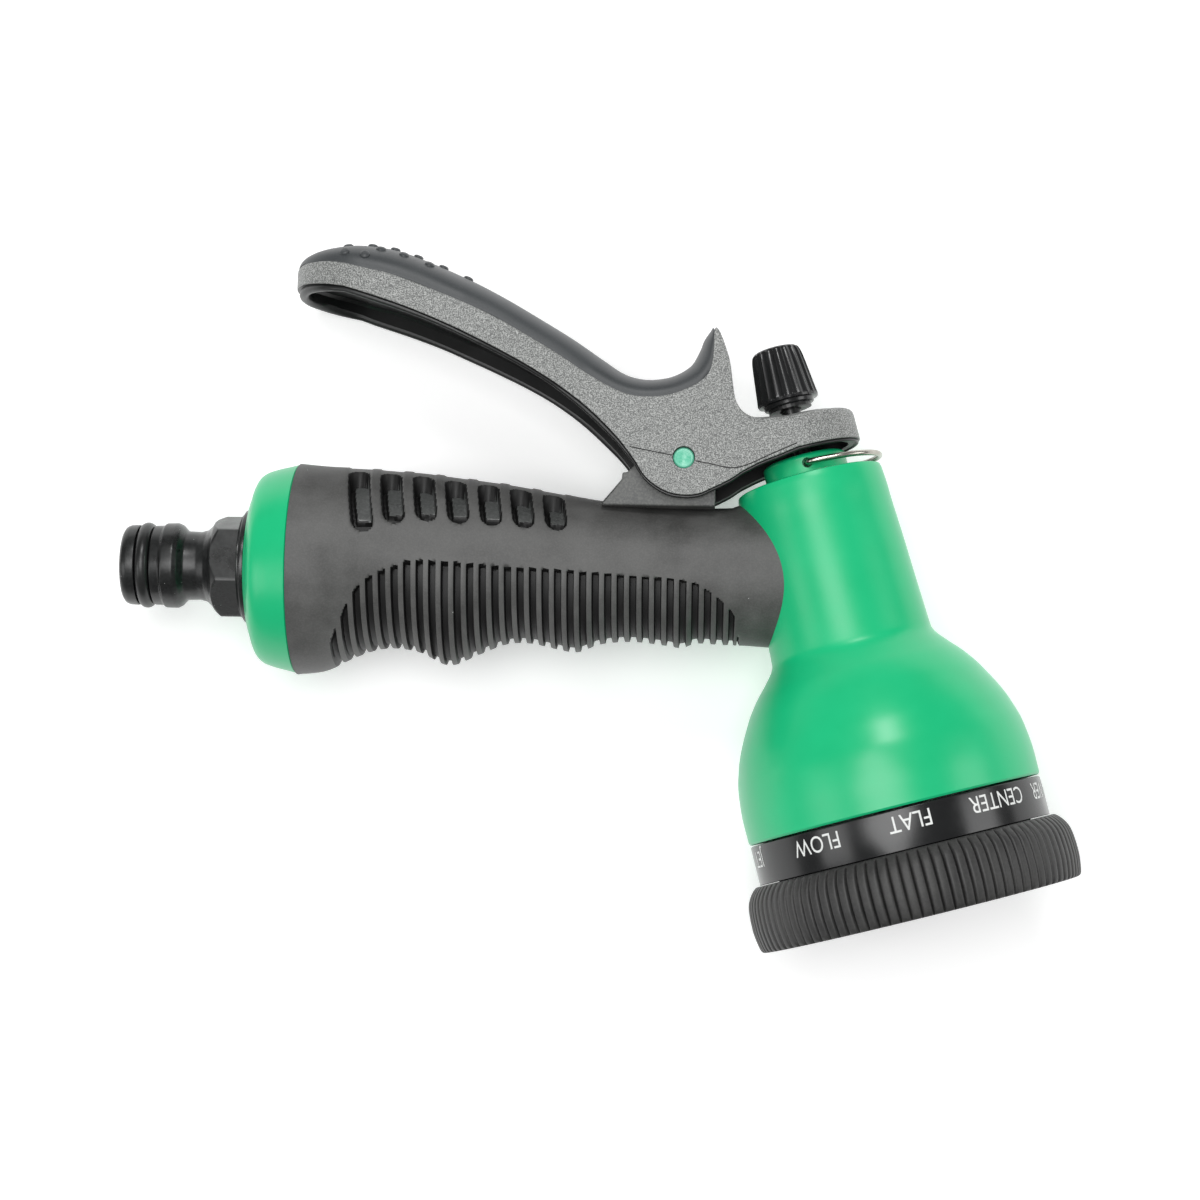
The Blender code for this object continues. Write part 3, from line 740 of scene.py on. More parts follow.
@dataclass
class Grip:
    """Soft sleeve of the handle, with hand slots on its back and ribs under the fingers.

    Attributes:
        stations: Rows of (x, top y, bottom y, half width across).
        arch: Upper ends of the grooves on each side, as (x, y).
        slots: Lower end of each slot, as (x, y).
    """

    bore: float = 10.5
    stations: tuple = (
        (37.3, 21.35, -22.0, 21.5), (43.0, 20.9, -21.2, 20.6), (48.0, 20.75, -18.8, 19.4),
        (52.5, 20.6, -17.0, 18.5), (57.0, 20.3, -16.3, 17.8), (62.5, 20.0, -17.1, 17.2),
        (68.5, 19.3, -19.6, 16.7), (74.5, 18.6, -17.3, 16.1), (80.0, 17.9, -15.1, 15.6),
        (85.0, 17.1, -14.8, 15.2), (91.0, 16.1, -16.0, 14.7), (94.8, 15.4, -16.4, 14.3),
        (99.5, 14.7, -14.7, 13.9), (106.0, 14.0, -14.1, 13.4), (113.0, 13.6, -14.8, 12.9),
        (116.0, 13.5, -15.2, 12.7), (119.0, 13.5, -14.2, 12.6), (124.0, 13.6, -14.4, 12.4),
        (131.0, 14.0, -14.5, 12.2), (139.0, 14.4, -14.8, 12.0),
    )
    arch: tuple = (
        (44.6, -19.0), (46.0, -15.5), (47.7, -12.2), (49.7, -7.9), (52.0, -5.0), (54.4, -3.3), (59.2, -1.2),
        (63.4, -0.2), (80.0, -0.9), (101.9, -1.9), (116.3, -2.9), (121.1, -4.8), (126.0, -8.7),
        (127.9, -12.7), (129.0, -16.0),
    )
    slots: tuple = (
        (52.3, 5.2), (58.4, 7.1), (64.8, 7.8), (71.2, 7.5), (77.8, 7.2), (84.3, 6.9), (90.8, 6.7),
    )
    rib_start: float = 44.85
    rib_pitch: float = 2.5
    rib_count: int = 34
    groove_share: float = 0.54
    groove_depth: float = 2.3
    groove_under: float = 1.0
    slot_width: float = 4.9
    slot_lean: float = 0.17
    slot_step: float = 0.2
    pocket_depth: tuple = (3.0, 1.0)
    pocket_top_turn: float = 66.0

    def columns(self) -> Points:
        """Angles round the sleeve, closer together on its back and sides than under the ribs."""
        over = np.radians(np.linspace(-40, 220, 190, endpoint=False))
        under = np.radians(np.linspace(220, 320, 34, endpoint=False))
        return np.r_[over, under]

    def rows(self) -> Points:
        """Distances along the handle: ten to a rib, and even before and after them."""
        rib_end = self.rib_start + self.rib_pitch * self.rib_count
        before = np.linspace(self.stations[0][0], self.rib_start, 15, endpoint=False)
        ribbed = self.rib_start + self.rib_pitch / 10 * np.arange(self.rib_count * 10)
        after = np.linspace(rib_end, self.stations[-1][0], 18)
        return np.r_[before, ribbed, after]

    def plain(self, x: Points, a: Points) -> tuple[Points, Points]:
        """Smooth sleeve: an ellipse round its own middle at each x.

        Args:
            x: Distance along the handle.
            a: Angle, 0 across the handle and a quarter turn towards the lever.

        Returns:
            The y and z of each point.
        """
        line = smooth_line(self.stations, 240)
        top, bottom, half = (np.interp(x, line[:, 0], line[:, k]) for k in (1, 2, 3))
        middle, height = (top + bottom) / 2, (top - bottom) / 2
        return middle + height * np.sin(a), half * np.cos(a)

    def groove(self, x: Points, y: Points, a: Points) -> Points:
        """Depth of the finger grooves: flat-bottomed, cut off above the arch line, shallower underneath.

        Args:
            x: Distance along the handle.
            y: Height towards the lever.
            a: Angle round the sleeve.

        Returns:
            The depth at each point.
        """
        phase = (x - self.rib_start) / self.rib_pitch
        offset = np.abs(phase - np.floor(phase) - 0.5) / (self.groove_share / 2)
        wall = np.clip((1.12 - offset) / 0.34, 0, 1)
        line = smooth_line(self.arch, 160)
        ceiling = np.interp(x, line[:, 0], line[:, 1])
        below = np.clip((ceiling - y) / 0.5, 0, 1)
        inside = (phase > 0) & (phase < self.rib_count)
        full = self.groove_under + (self.groove_depth - self.groove_under) * np.cos(a) ** 2
        return full * wall * below * inside

    def slot_depth(self, x: Points, y: Points, a: Points) -> tuple[Points, Points]:
        """Depth of the slots: a shallow step over the back, and a deeper round-ended pocket on each side.

        Args:
            x: Distance along the handle.
            y: Height towards the lever.
            a: Angle round the sleeve.

        Returns:
            The depth, and where the pockets have their floors.
        """
        up = np.abs(np.degrees(a) - 90)
        depth = np.zeros(np.broadcast(x, y).shape)
        floor = np.zeros(depth.shape, bool)
        half = self.slot_width / 2
        first, second = self.pocket_depth
        for end_x, end_y in self.slots:
            side = x - end_x + self.slot_lean * (y - end_y)
            drop = np.maximum(0, end_y + half - y)
            shallow = np.clip((half - np.hypot(side, drop)) / 0.3, 0, 1) * (y > 0)
            climb = np.maximum(0, (90 - self.pocket_top_turn + 7 - up) * 0.30)
            reach = np.hypot(side, np.maximum(climb, drop))
            pocket = np.clip((half - 0.3 - reach) / 0.3, 0, 1) * (y > 0)
            lower = np.clip((end_y + half + 1.5 - y) / 0.4, 0, 1)
            trench = np.clip((np.hypot(side - 0.4, climb) - half + 1.1) / 0.3, 0, 1)
            trench = trench * ((side < 0) | (climb > 0))
            sunk = pocket * (first + second * np.maximum(lower, trench))
            depth = np.maximum(depth, self.slot_step * shallow + sunk)
            floor |= (pocket > 0.99) & (lower < 0.01) & (trench < 0.01)
        return depth, floor

    def neck_reach(self, y: Points, z: Points) -> Points:
        """How far along the handle the neck's surface lies, half a millimetre inside it.

        Args:
            y: Height towards the lever.
            z: Distance across the handle.

        Returns:
            The distance along the handle of each point.
        """
        neck = NeckAndDome()
        lean = math.radians(SPACE.lean)
        reach = np.full(y.shape, 136.0)
        for _ in range(12):
            s = (reach - SPACE.crossing) * math.sin(lean) - y * math.cos(lean)
            radius = neck.outer_radius(s) - 0.5
            back = np.sqrt(np.maximum(radius**2 - z**2, 0.0))
            reach = SPACE.crossing - (back + y * math.sin(lean)) / math.cos(lean)
        return reach

    def build(self, shop: Workshop) -> None:
        """Build the sleeve and dress it."""
        x, a = self.rows()[:, None], self.columns()[None, :]
        y, z = self.plain(x, a)
        grooves = self.groove(x, y, a)
        slots, floors = self.slot_depth(x, y, a)
        length = np.hypot(y, z)
        shrink = (length - grooves - slots) / length
        y, z = y * shrink, z * shrink
        bend = self.rib_start + self.rib_pitch * self.rib_count - 4.0
        stretch = np.maximum(x - bend, 0) / (self.stations[-1][0] - bend)
        along = np.where(x > bend, bend + stretch * (self.neck_reach(y, z) - bend), x + 0 * y)
        skin = np.stack([along, y, z], -1)
        inner = self.bore * np.stack([0 * a[0], np.sin(a[0]), np.cos(a[0])], 1)
        ends = [inner + along[k][:, None] * np.array([1.0, 0, 0]) for k in (-1, 0)]
        # Painted shade: faces deep in the finger grooves and on the slot walls take the nearly black TPE, for
        # the shade in these recesses.
        shade_mask = (grooves > 0.6 * self.groove_under) | (slots > self.slot_step + 0.3)
        shade_mask |= np.roll(shade_mask, -1, 0) | np.roll(shade_mask, -1, 1)
        # Zone 2, the slot floors, takes the lighter slot-floor TPE as painted light.
        zone = np.where(floors, 2, np.where(shade_mask, 1, 0))
        zone = np.vstack([zone, np.zeros((2, a.size), int)])
        closed = np.concatenate([skin, ends[0][None], ends[1][None]])
        sleeve = Skin.grid(SPACE.gun(closed), wrap_rows=True, zone=zone)
        looks = ["grip", "groove", "pocket"]
        shop.piece("grip_sleeve", [sleeve], looks, Body.HOUSING, ["handle_grip"], crease=50)


@dataclass
class Spigot:
    """Snap-in hose spigot: tip, O-ring groove, collar, waist, hexagon and flange.

    Attributes:
        flat: Distance from the axis to a flat of the hexagon.
        flat_turn: Angle of the first flat, in degrees.
        hexagon: Where the hexagon starts and ends along the handle.
        outer: Outer wall, as (radius, distance along the handle).
        inner: Inner wall from the hidden end back to the tip.
    """

    flat: float = 9.25
    flat_turn: float = 82.0
    hexagon: tuple = (19.4, 25.6)
    outer: tuple = (
        (7.3, 1.2), (7.9, 1.6), (8.2, 2.4), (8.25, 4.2), (6.6, 4.3), (6.6, 7.2), (8.15, 7.3), (8.2, 9.3),
        (8.7, 9.7), (8.75, 12.1), (8.3, 13.0), (7.1, 14.1), (7.0, 16.8), (7.4, 18.3), (8.4, 19.4),
        (9.5, 20.1), (10.7, 21.5), (10.7, 25.6), (10.6, 25.8), (10.6, 26.1), (11.6, 26.2), (11.6, 27.3),
        (7.2, 27.3),
    )
    inner: tuple = ((7.2, 37.0), (5.5, 37.0), (5.5, 1.8), (6.0, 1.2))

    def build(self, shop: Workshop) -> None:
        """Build the spigot and its O-ring."""
        outer = eased(self.outer, 0.3, 5, ring=False)
        between = np.linspace(20.1, 25.5, 28)
        filled = np.unique(np.r_[outer[:, 1], between])
        rising = outer[outer[:, 1] < 25.65]
        late = outer[outer[:, 1] >= 25.65]
        hexed = filled[(filled > 19.9) & (filled < 25.65)]
        early = rising[rising[:, 1] <= 19.9]
        middle = np.stack([np.interp(hexed, rising[:, 1], rising[:, 0]), hexed], 1)
        profile = np.vstack([early, middle, late, self.inner])
        grid = turned(profile, 192)
        angle = np.degrees(turn_angles(192)) - self.flat_turn
        within = (angle + 30) % 60 - 30
        limit = self.flat / np.cos(np.radians(within))
        radius = np.hypot(grid[..., 0], grid[..., 1])
        low, high = self.hexagon
        on_hexagon = (grid[..., 2] > low) & (grid[..., 2] < high)
        scale = np.where(on_hexagon, np.minimum(1, limit[None] / radius), 1)
        grid[..., :2] *= scale[..., None]
        skin = inlet_skin(grid)
        shop.piece(
            "snap_in_spigot", [skin], ["spigot"], Body.HOUSING, ["inlet_adapter"], crease=28
        )
        a = turn_angles(24)
        ring = np.stack([7.55 + 1.25 * np.cos(a), 5.75 + 1.4 * np.sin(a)], 1)
        seal = inlet_skin(turned(ring, 128))
        shop.piece("spigot_o_ring", [seal], ["o_ring"], Body.HOUSING, ["inlet_o_ring"])


@dataclass
class Bracket:
    """Two ears on a foot that carry the lever's pin.

    Attributes:
        ear: Outline of an ear, as (x, y).
        plate: Outline of the plate that joins the ears.
        foot: Outline of the narrow foot under the plate.
        ear_z: Inner and outer face of an ear, across the handle.
        foot_z: Half width of the foot.
    """

    ear: tuple = (
        (99.0, 12.7), (103.4, 18.1), (103.4, 19.4), (104.4, 19.4), (105.9, 20.9), (109.6, 24.0),
        (112.6, 26.4), (116.0, 27.1), (119.4, 25.8), (121.2, 22.8), (122.3, 18.0), (122.3, 12.7),
    )
    plate: tuple = ((99.3, 12.8), (100.6, 14.5), (122.2, 14.5), (122.2, 12.8))
    foot: tuple = ((100.3, 10.7), (100.3, 13.6), (122.0, 13.6), (122.0, 10.7))
    ear_z: tuple = (7.0, 9.7)
    foot_z: float = 3.0

    def build(self, shop: Workshop) -> None:
        """Build the bracket."""
        outline = eased(self.ear, 0.5)
        low, high = self.ear_z
        skins = [
            Skin.slab(outline, low, high, 0.35),
            Skin.slab(outline, -high, -low, 0.35),
            Skin.slab(eased(self.plate, 0.3), -high + 0.05, high - 0.05, 0.3),
            Skin.slab(eased(self.foot, 0.3), -self.foot_z, self.foot_z, 0.3),
        ]
        shop.piece("lever_carrier", skins, ["bracket"], Body.HOUSING, ["lever_bracket"])


@dataclass
class PivotPin:
    """Green pin through the lever and the bracket, with a shallow dished head at each end."""

    radius: float = 2.12
    end: float = 11.7

    def build(self, shop: Workshop) -> None:
        """Build the pin."""
        head = [(0, self.end - 0.35), (0.8, self.end - 0.3), (1.35, self.end - 0.02), (1.85, self.end)]
        head += [(self.radius, self.end - 0.25)]
        profile = np.array(head + [(r, -z) for r, z in head[::-1]])
        grid = turned(profile, 40) + np.array([*PIN_XY, 0])
        skin = Skin.grid(SPACE.gun(grid))
        shop.piece("lever_pin", [skin], ["pin"], Body.HOUSING, ["pivot_pin"])


@dataclass
class Gland:
    """Green collar round the valve stem, and the steel clip that holds it.

    Attributes:
        profile: Section of the collar, as (radius, distance along the spray axis).
        clip_s: Where the clip lies along the spray axis.
        clip_tip: How much the clip tips along the spray axis for each millimetre outward.
        wire: Radius of the wire.
        wire_hole: Radius of the holes that the wire's ends enter.
        leg: Plan of one end of the clip, as (outward, across).
    """

    profile: tuple = (
        (2.3, -25.0), (7.9, -25.0), (8.6, -24.4), (8.6, -20.6), (9.0, -20.1), (11.3, -20.1), (11.3, -8.8),
        (2.3, -8.8), (2.3, -12.5), (4.9, -12.5), (4.9, -15.1), (2.3, -15.1),
    )
    clip_s: float = -22.9
    clip_tip: float = 0.06
    wire: float = 0.6
    wire_hole: float = 1.05
    leg: tuple = ((0, 6.4), (0, 8.0), (0.15, 9.0), (0.6, 9.7), (1.5, 10.0), (3.2, 10.05))

    def build(self, shop: Workshop) -> None:
        """Build the collar and the clip."""
        skin = bell_skin(turned(eased(self.profile, 0.3), 96))
        collar = shop.piece("stem_collar", [skin], ["green"], Body.HOUSING, ["gland_bush"])
        holes = []
        for sign in (1, -1):
            hole = rod(self.wire_hole, 5.9 * sign, 9.5 * sign, steps=32)[..., [0, 2, 1]]
            holes.append(bell_skin(hole + np.array([0, 0, self.clip_s]), False))
        cut(collar, holes)
        a = np.linspace(math.pi / 2, -math.pi / 2, 24)
        bend = [(5.4 + 9.95 * math.cos(t), 10.0 * math.sin(t)) for t in a]
        plan = list(self.leg) + bend + [(r, -y) for r, y in self.leg[::-1]]
        route = smooth_line([(r, y, self.clip_s + self.clip_tip * r) for r, y in plan], 110)
        wire = bell_skin(tube(route, self.wire), False)
        shop.piece("collar_clip", [wire], ["steel"], Body.HOUSING, ["wire_clip"])


@dataclass
class Lever:
    """Squeeze lever: an open channel with grained walls, a smooth rim, a hook and a round tongue.

    Attributes:
        table: Rows of (top x, top y, wall foot x, wall foot y, under-roof x, under-roof y).
        pad: Rows of (edge x, edge y, crown x, crown y) of the soft pad.
    """

    paddle_centre: float = 49.5
    paddle_length: float = 14.7
    paddle_width: float = 15.2
    arm_width: float = 12.3
    taper: tuple = (70.0, 95.0)
    wall: float = 2.2
    tongue_top: float = -32.6
    tongue_foot: float = -26.0
    tongue_roof: float = -30.6
    tongue_crown: float = 1.5
    stem_hole: float = 4.3
    pin_hole: float = 2.3
    table: tuple = (
        (54.7, 58.8, 52.1, 54.1, 54.1, 56.4), (60.9, 56.7, 58.2, 52.1, 60.0, 54.4),
        (69.4, 53.4, 64.6, 49.6, 68.3, 51.0), (76.2, 50.5, 71.0, 46.8, 75.0, 48.1),
        (82.5, 47.2, 77.1, 43.9, 81.3, 44.8), (89.5, 43.2, 83.5, 40.6, 88.2, 40.9),
        (95.8, 39.2, 89.7, 36.9, 94.4, 36.9), (100.9, 36.3, 96.0, 32.3, 99.8, 33.9),
        (105.2, 34.8, 101.9, 26.6, 104.6, 32.2), (109.4, 34.6, 105.7, 21.8, 108.8, 31.4),
        (112.0, 34.9, 107.8, 18.6, 111.5, 31.2), (114.4, 35.6, 110.3, 16.4, 114.0, 31.0),
        (117.0, 36.7, 113.2, 15.0, 116.0, 30.8), (119.2, 38.1, 116.2, 14.6, 117.6, 30.5),
        (120.7, 39.9, 118.5, 14.8, 118.9, 30.2), (121.3, 42.2, 120.0, 15.3, 120.0, 29.9),
        (121.5, 44.6, 121.0, 15.8, 121.0, 29.7), (121.55, 46.9, 122.0, 16.3, 121.8, 29.5),
        (121.6, 48.5, 123.1, 16.8, 122.6, 29.4), (122.0, 48.9, 123.8, 17.2, 123.3, 29.3),
        (122.7, 48.0, 124.6, 17.6, 124.0, 29.2), (123.7, 45.6, 125.3, 18.0, 124.8, 29.1),
        (124.8, 42.0, 126.2, 18.6, 125.6, 29.0), (125.4, 37.8, 127.6, 19.6, 126.6, 28.9),
        (126.0, 34.4, 129.2, 20.5, 127.8, 28.8), (127.3, 32.2, 130.7, 21.3, 129.2, 28.8),
        (129.2, 31.0, 132.5, 22.1, 130.8, 28.9), (131.6, 30.6, 134.5, 22.9, 132.8, 29.0),
    )
    pad: tuple = (
        (34.9, 61.6, 34.9, 61.7), (35.5, 61.9, 35.6, 62.9), (37.0, 62.0, 37.2, 64.2),
        (40.8, 61.6, 41.0, 65.6), (45.9, 60.9, 46.5, 66.5), (49.4, 60.0, 50.5, 66.6),
        (54.7, 58.8, 56.5, 65.7), (60.9, 56.9, 63.0, 63.4), (69.4, 53.4, 72.0, 59.5),
        (76.2, 50.7, 79.0, 55.9), (82.5, 47.2, 86.0, 51.9), (89.5, 43.3, 92.7, 47.9),
        (95.8, 39.0, 98.8, 43.8), (100.9, 36.2, 103.0, 41.0), (105.2, 34.8, 106.2, 39.9),
        (109.4, 34.6, 109.6, 39.7), (114.4, 35.6, 113.4, 40.5), (119.2, 38.1, 116.7, 42.6),
        (121.1, 40.9, 118.5, 45.7), (121.5, 44.2, 119.5, 48.2), (121.6, 48.6, 121.0, 50.0),
    )
    nub_rows: tuple = (
        (20, 46.3, 2), (40, 53.7, 3), (66, 46.0, 6), (90, 43.6, 7), (114, 46.0, 6), (140, 53.7, 3),
        (160, 46.3, 2),
    )
    nub_step: float = 5.0
    mould_line: tuple = (
        ((104.9, 24.2), (109.0, 23.4), (113.4, 22.6)),
        ((118.2, 21.5), (121.5, 20.9), (125.4, 20.2), (128.6, 20.9), (133.5, 23.2), (138.5, 25.5)),
    )
    nub: tuple = ((0.0, 0.50), (0.35, 0.55), (0.72, 0.48), (1.0, 0.25), (1.1, -0.2))

    def half_width(self, x: Points) -> Points:
        """Half width of the channel at x, before its round ends."""
        return np.interp(x, self.taper, (self.paddle_width, self.arm_width))

    def stations(self) -> tuple[Points, Points, Points, Points]:
        """Near side of the channel, from the paddle's end to the tongue's tip.

        Returns:
            The wall's top, its foot, the roof's underside and the outward direction, a row for each station.
        """
        turn = np.radians(np.r_[0, 2, 5, 9, 14, 20, 27, 35, 44, 54, 65, 77, 88])
        x = self.paddle_centre - self.paddle_length * np.cos(turn)
        z = self.paddle_width * np.sin(turn)
        top_y = np.interp(x, (34.8, 37.0, 40.8, 43.7, 45.9, 49.4), (61.5, 61.8, 61.5, 61.2, 60.8, 59.9))
        foot_y = np.interp(x, (34.8, 37.0, 41.4, 46.0, 49.5), (57.6, 57.5, 56.8, 56.0, 54.9))
        top = np.stack([x, top_y, z], 1)
        foot = np.stack([x, foot_y, z], 1)
        roof = np.stack([x, top_y - 2.4, z], 1)
        out = np.stack([-np.cos(turn) / self.paddle_length, 0 * turn, np.sin(turn) / self.paddle_width], 1)
        arm = through_rows(self.table, 4)
        arm_top, arm_foot, arm_roof = (
            np.stack([arm[:, k], arm[:, k + 1], self.half_width(arm[:, k])], 1) for k in (0, 2, 4)
        )
        arm_out = np.tile([0.0, 0.0, 1.0], (len(arm), 1))
        sweep = np.radians(np.r_[96, 92, 88, 82, 74, 65, 55, 45, 35, 26, 18, 11, 6, 2, 0])
        r = self.arm_width
        tip = [
            SPACE.bell_to_gun(np.stack([r * np.cos(sweep), r * np.sin(sweep), 0 * sweep + s], 1))
            for s in (self.tongue_top, self.tongue_foot, self.tongue_roof)
        ]
        a = math.radians(SPACE.lean)
        tip_out = np.stack([np.cos(sweep) * math.cos(a), np.cos(sweep) * math.sin(a), np.sin(sweep)], 1)
        paddle, arm_rows = (top, foot, roof, out), (arm_top, arm_foot, arm_roof, arm_out)
        parts = [np.vstack(group) for group in zip(paddle, arm_rows, (*tip, tip_out))]
        parts[3] /= np.linalg.norm(parts[3], axis=1, keepdims=True)
        return tuple(parts)

    def channel(self) -> tuple[Points, Points]:
        """Closed section of the channel carried along its stations.

        Each half section runs from the roof's underside down the inner wall, round the rim's bead, up the
        grained wall and over the eased top edge to the middle. The far half is its mirror image.

        Returns:
            Grid of points, and the zone of each column: 0 grained, 1 smooth and painted near-black as shade.
        """
        top, foot, roof, out = self.stations()
        down = foot - top
        down /= np.linalg.norm(down, axis=1, keepdims=True)
        count = len(top)
        station = np.arange(count)
        easing = np.interp(station, (0, count - 34, count - 26, count), (0.35, 0.35, 1.3, 1.3))[:, None]
        lift = np.interp(station, (0, count - 26, count - 16, count), (0, 0, 1, 1))[:, None]
        upward = np.array([-math.sin(math.radians(SPACE.lean)), 1.0, 0.0])
        lift = lift * (top[:, 2:] / self.arm_width) ** 2 * self.tongue_crown * upward
        k = np.interp(foot[:, 0], (34, 46, 100, 108, 150), (1.0, 0.55, 0.5, 0.33, 0.33))[:, None]
        middle = np.array([1, 1, 0.0])
        columns = [roof * middle, roof - (self.wall + 0.6) * out, roof - self.wall * out + 0.6 * down]
        columns += [foot - (self.wall + 0.35) * out + 0.2 * down]
        bead = foot - (0.35 + 1.2 * k) * out + 0.95 * k * down
        for angle in np.radians([170, 140, 110, 90, 70, 40, 10, -20, -45]):
            columns.append(bead + 1.05 * k * (math.cos(angle) * out + math.sin(angle) * down))
        columns += [foot - (0.15 + 0.4 * k) * out + 0.05 * down, foot - 0.12 * out]
        columns += [foot - 0.02 * out - 0.12 * down]
        shaded_count = len(columns) - 2
        for share in (0.04, 0.35, 0.65, 0.96):
            columns.append(foot - 0.12 * down + share * (top + easing * down - foot + 0.12 * down))
        for angle in np.radians([22, 45, 68, 90]):
            columns.append(top + easing * ((1 - math.sin(angle)) * down - (1 - math.cos(angle)) * out))
        edge = top - easing * out
        for share, rise in ((0.3, 0.55), (0.6, 0.9), (1.0, 1.0)):
            columns.append(edge * (1 - (1 - middle) * share) + rise * lift)
        near = np.stack(columns, 1)
        far = near[:, ::-1] * np.array([1, 1, -1.0])
        # Zone 1 covers the roof's underside, the inner wall and the rim bead: painted shade.
        zone = np.where(np.arange(len(columns)) < shaded_count, 1, 0)
        return np.concatenate([near, far], 1), np.r_[zone, zone[::-1]]

    def pad_surface(self, rows: int = 150, around: int = 40) -> Points:
        """Crowned pad: half-round sections that stand between the two wall tops.

        Args:
            rows: Meant as sections along the pad; not used.
            around: Points over the crown.

        Returns:
            Grid of points over the crown, near side first.
        """
        line = through_rows(self.pad, 9)
        edge, crown = line[:, :2], line[:, 2:]
        along = np.clip((self.paddle_centre - edge[:, 0]) / (self.paddle_length - 0.2), 0, 1)
        round_end = np.sqrt(1 - along**2)
        taper = np.interp(np.arange(len(line)), (0, len(line) - 28, len(line) - 1), (1, 1, 0.9))
        half = (self.half_width(edge[:, 0]) - 0.3) * round_end * taper
        a = np.linspace(0, math.pi, around)[None, :]
        lift = np.sin(a) ** 0.8
        xy = edge[:, None] + (crown - edge)[:, None] * lift[..., None]
        return np.concatenate([xy, (half[:, None] * np.cos(a))[..., None]], -1)

    def nubs(self, surface: Points) -> list[Skin]:
        """Small domes in staggered rows on the paddle, each standing square to the pad.

        Args:
            surface: Grid of points over the pad's crown.

        Returns:
            One skin for each nub.
        """
        crown = surface[:, surface.shape[1] // 2]
        profile = np.array(self.nub)
        skins = []
        for turn, start, count in self.nub_rows:
            column = round(turn / 180 * (surface.shape[1] - 1))
            for x in start + self.nub_step * np.arange(count):
                row = 10 + int(np.argmin(np.abs(crown[10:90, 0] - x)))
                at = surface[row, column]
                run = surface[row + 1, column] - surface[row - 1, column]
                side = surface[row, column + 1] - surface[row, column - 1]
                run, side = run / np.linalg.norm(run), side / np.linalg.norm(side)
                up = np.cross(side, run)
                up *= np.sign(up[1]) / np.linalg.norm(up)
                side = np.cross(up, run)
                local = turned(profile, 16)
                grid = at + local[..., :1] * run + local[..., 1:2] * side + local[..., 2:] * up
                skins.append(Skin.grid(SPACE.gun(grid)))
        return skins

    def build(self, shop: Workshop) -> None:
        """Build the channel, its mould lines, the pad and the nubs."""
        grid, zone = self.channel()
        skin = Skin.grid(SPACE.gun(grid), zone=zone)
        # The channel's inside and rim take the near-black smooth nylon as painted shade.
        walls = ["nylon", "nylon_shade_and_seam"]
        lever = shop.piece("squeeze_lever", [skin], walls, Body.LEVER, ["lever"], crease=40)
        pin_hole = rod(self.pin_hole, -20, 20, PIN_XY, 40)
        stem_hole = rod(self.stem_hole, -45, -28)
        cut(lever, [Skin.grid(SPACE.gun(pin_hole)), bell_skin(stem_hole, False)])
        lines = []
        for side in (1, -1):
            for run in self.mould_line:
                route = [(x, y, side * (float(self.half_width(x)) + 0.01)) for x, y in run]
                lines.append(Skin.grid(SPACE.gun(tube(smooth_line(route, 60), 0.11, 8))))
        # The mould lines take the same near-black nylon as dark seams.
        shop.piece("lever_mould_line", lines, ["nylon_shade_and_seam"], Body.LEVER)
        surface = self.pad_surface()
        base = surface[:, ::-1] * 1.0
        base[..., :2] = surface[:, :1, :2] - np.array([0, 0.15])
        loop = np.concatenate([surface, base[:, 1:-1]], 1)
        shop.piece("thumb_pad", [Skin.grid(SPACE.gun(loop))], ["pad"], Body.LEVER, ["lever_pad"])
        shop.piece("pad_nubs", self.nubs(surface), ["pad"], Body.LEVER)


@dataclass
class Knob:
    """Fluted flow knob: twenty-two hollow flutes with sharp ridges, over a plain skirt.

    Attributes:
        flutes: Flutes round the knob.
        depth: Depth of a flute.
        profile: Section, as (radius, distance along the spray axis); the first nine points are smooth.
    """

    flutes: int = 22
    depth: float = 0.34
    profile: tuple = (
        (0.0, -48.75), (2.6, -48.7), (4.1, -48.5), (4.8, -48.1), (5.15, -47.3), (5.4, -46.0), (5.8, -42.6),
        (6.2, -39.0), (6.4, -37.6), (6.2, -37.2), (5.3, -37.1), (5.2, -36.4), (5.0, -36.2), (2.35, -36.1),
        (2.35, -46.0), (0.0, -46.0),
    )

    def build(self, shop: Workshop) -> None:
        """Build the knob."""
        upper = smooth_line(self.profile[:9], 60)
        profile = np.vstack([upper, eased(self.profile[9:], 0.1, 3, ring=False)])
        grid = turned(profile, 240)
        a = turn_angles(240)[None, :]
        s = profile[:, 1][:, None]
        mask = np.clip((s + 48.5) / 0.8, 0, 1) * np.clip((-37.5 - s) / 0.3, 0, 1)
        radius = np.maximum(profile[:, 0][:, None], 1e-9)
        scale = 1 - self.depth * mask * np.abs(np.sin(self.flutes * a / 2)) ** 0.8 / radius * (radius > 3)
        grid[..., :2] *= scale[..., None]
        skin = bell_skin(grid, False)
        shop.piece("fluted_knob", [skin], ["gloss"], Body.KNOB, ["flow_knob"], crease=30)


class Spray(Enum):
    """Spray patterns, in order round the dial."""

    JET = "JET"
    FLOW = "FLOW"
    FLAT = "FLAT"
    CENTER = "CENTER"
    SHOWER = "SHOWER"
    MIST = "MIST"
    CONE = "CONE"
    SOAKER = "SOAKER"
    ANGLE = "ANGLE"


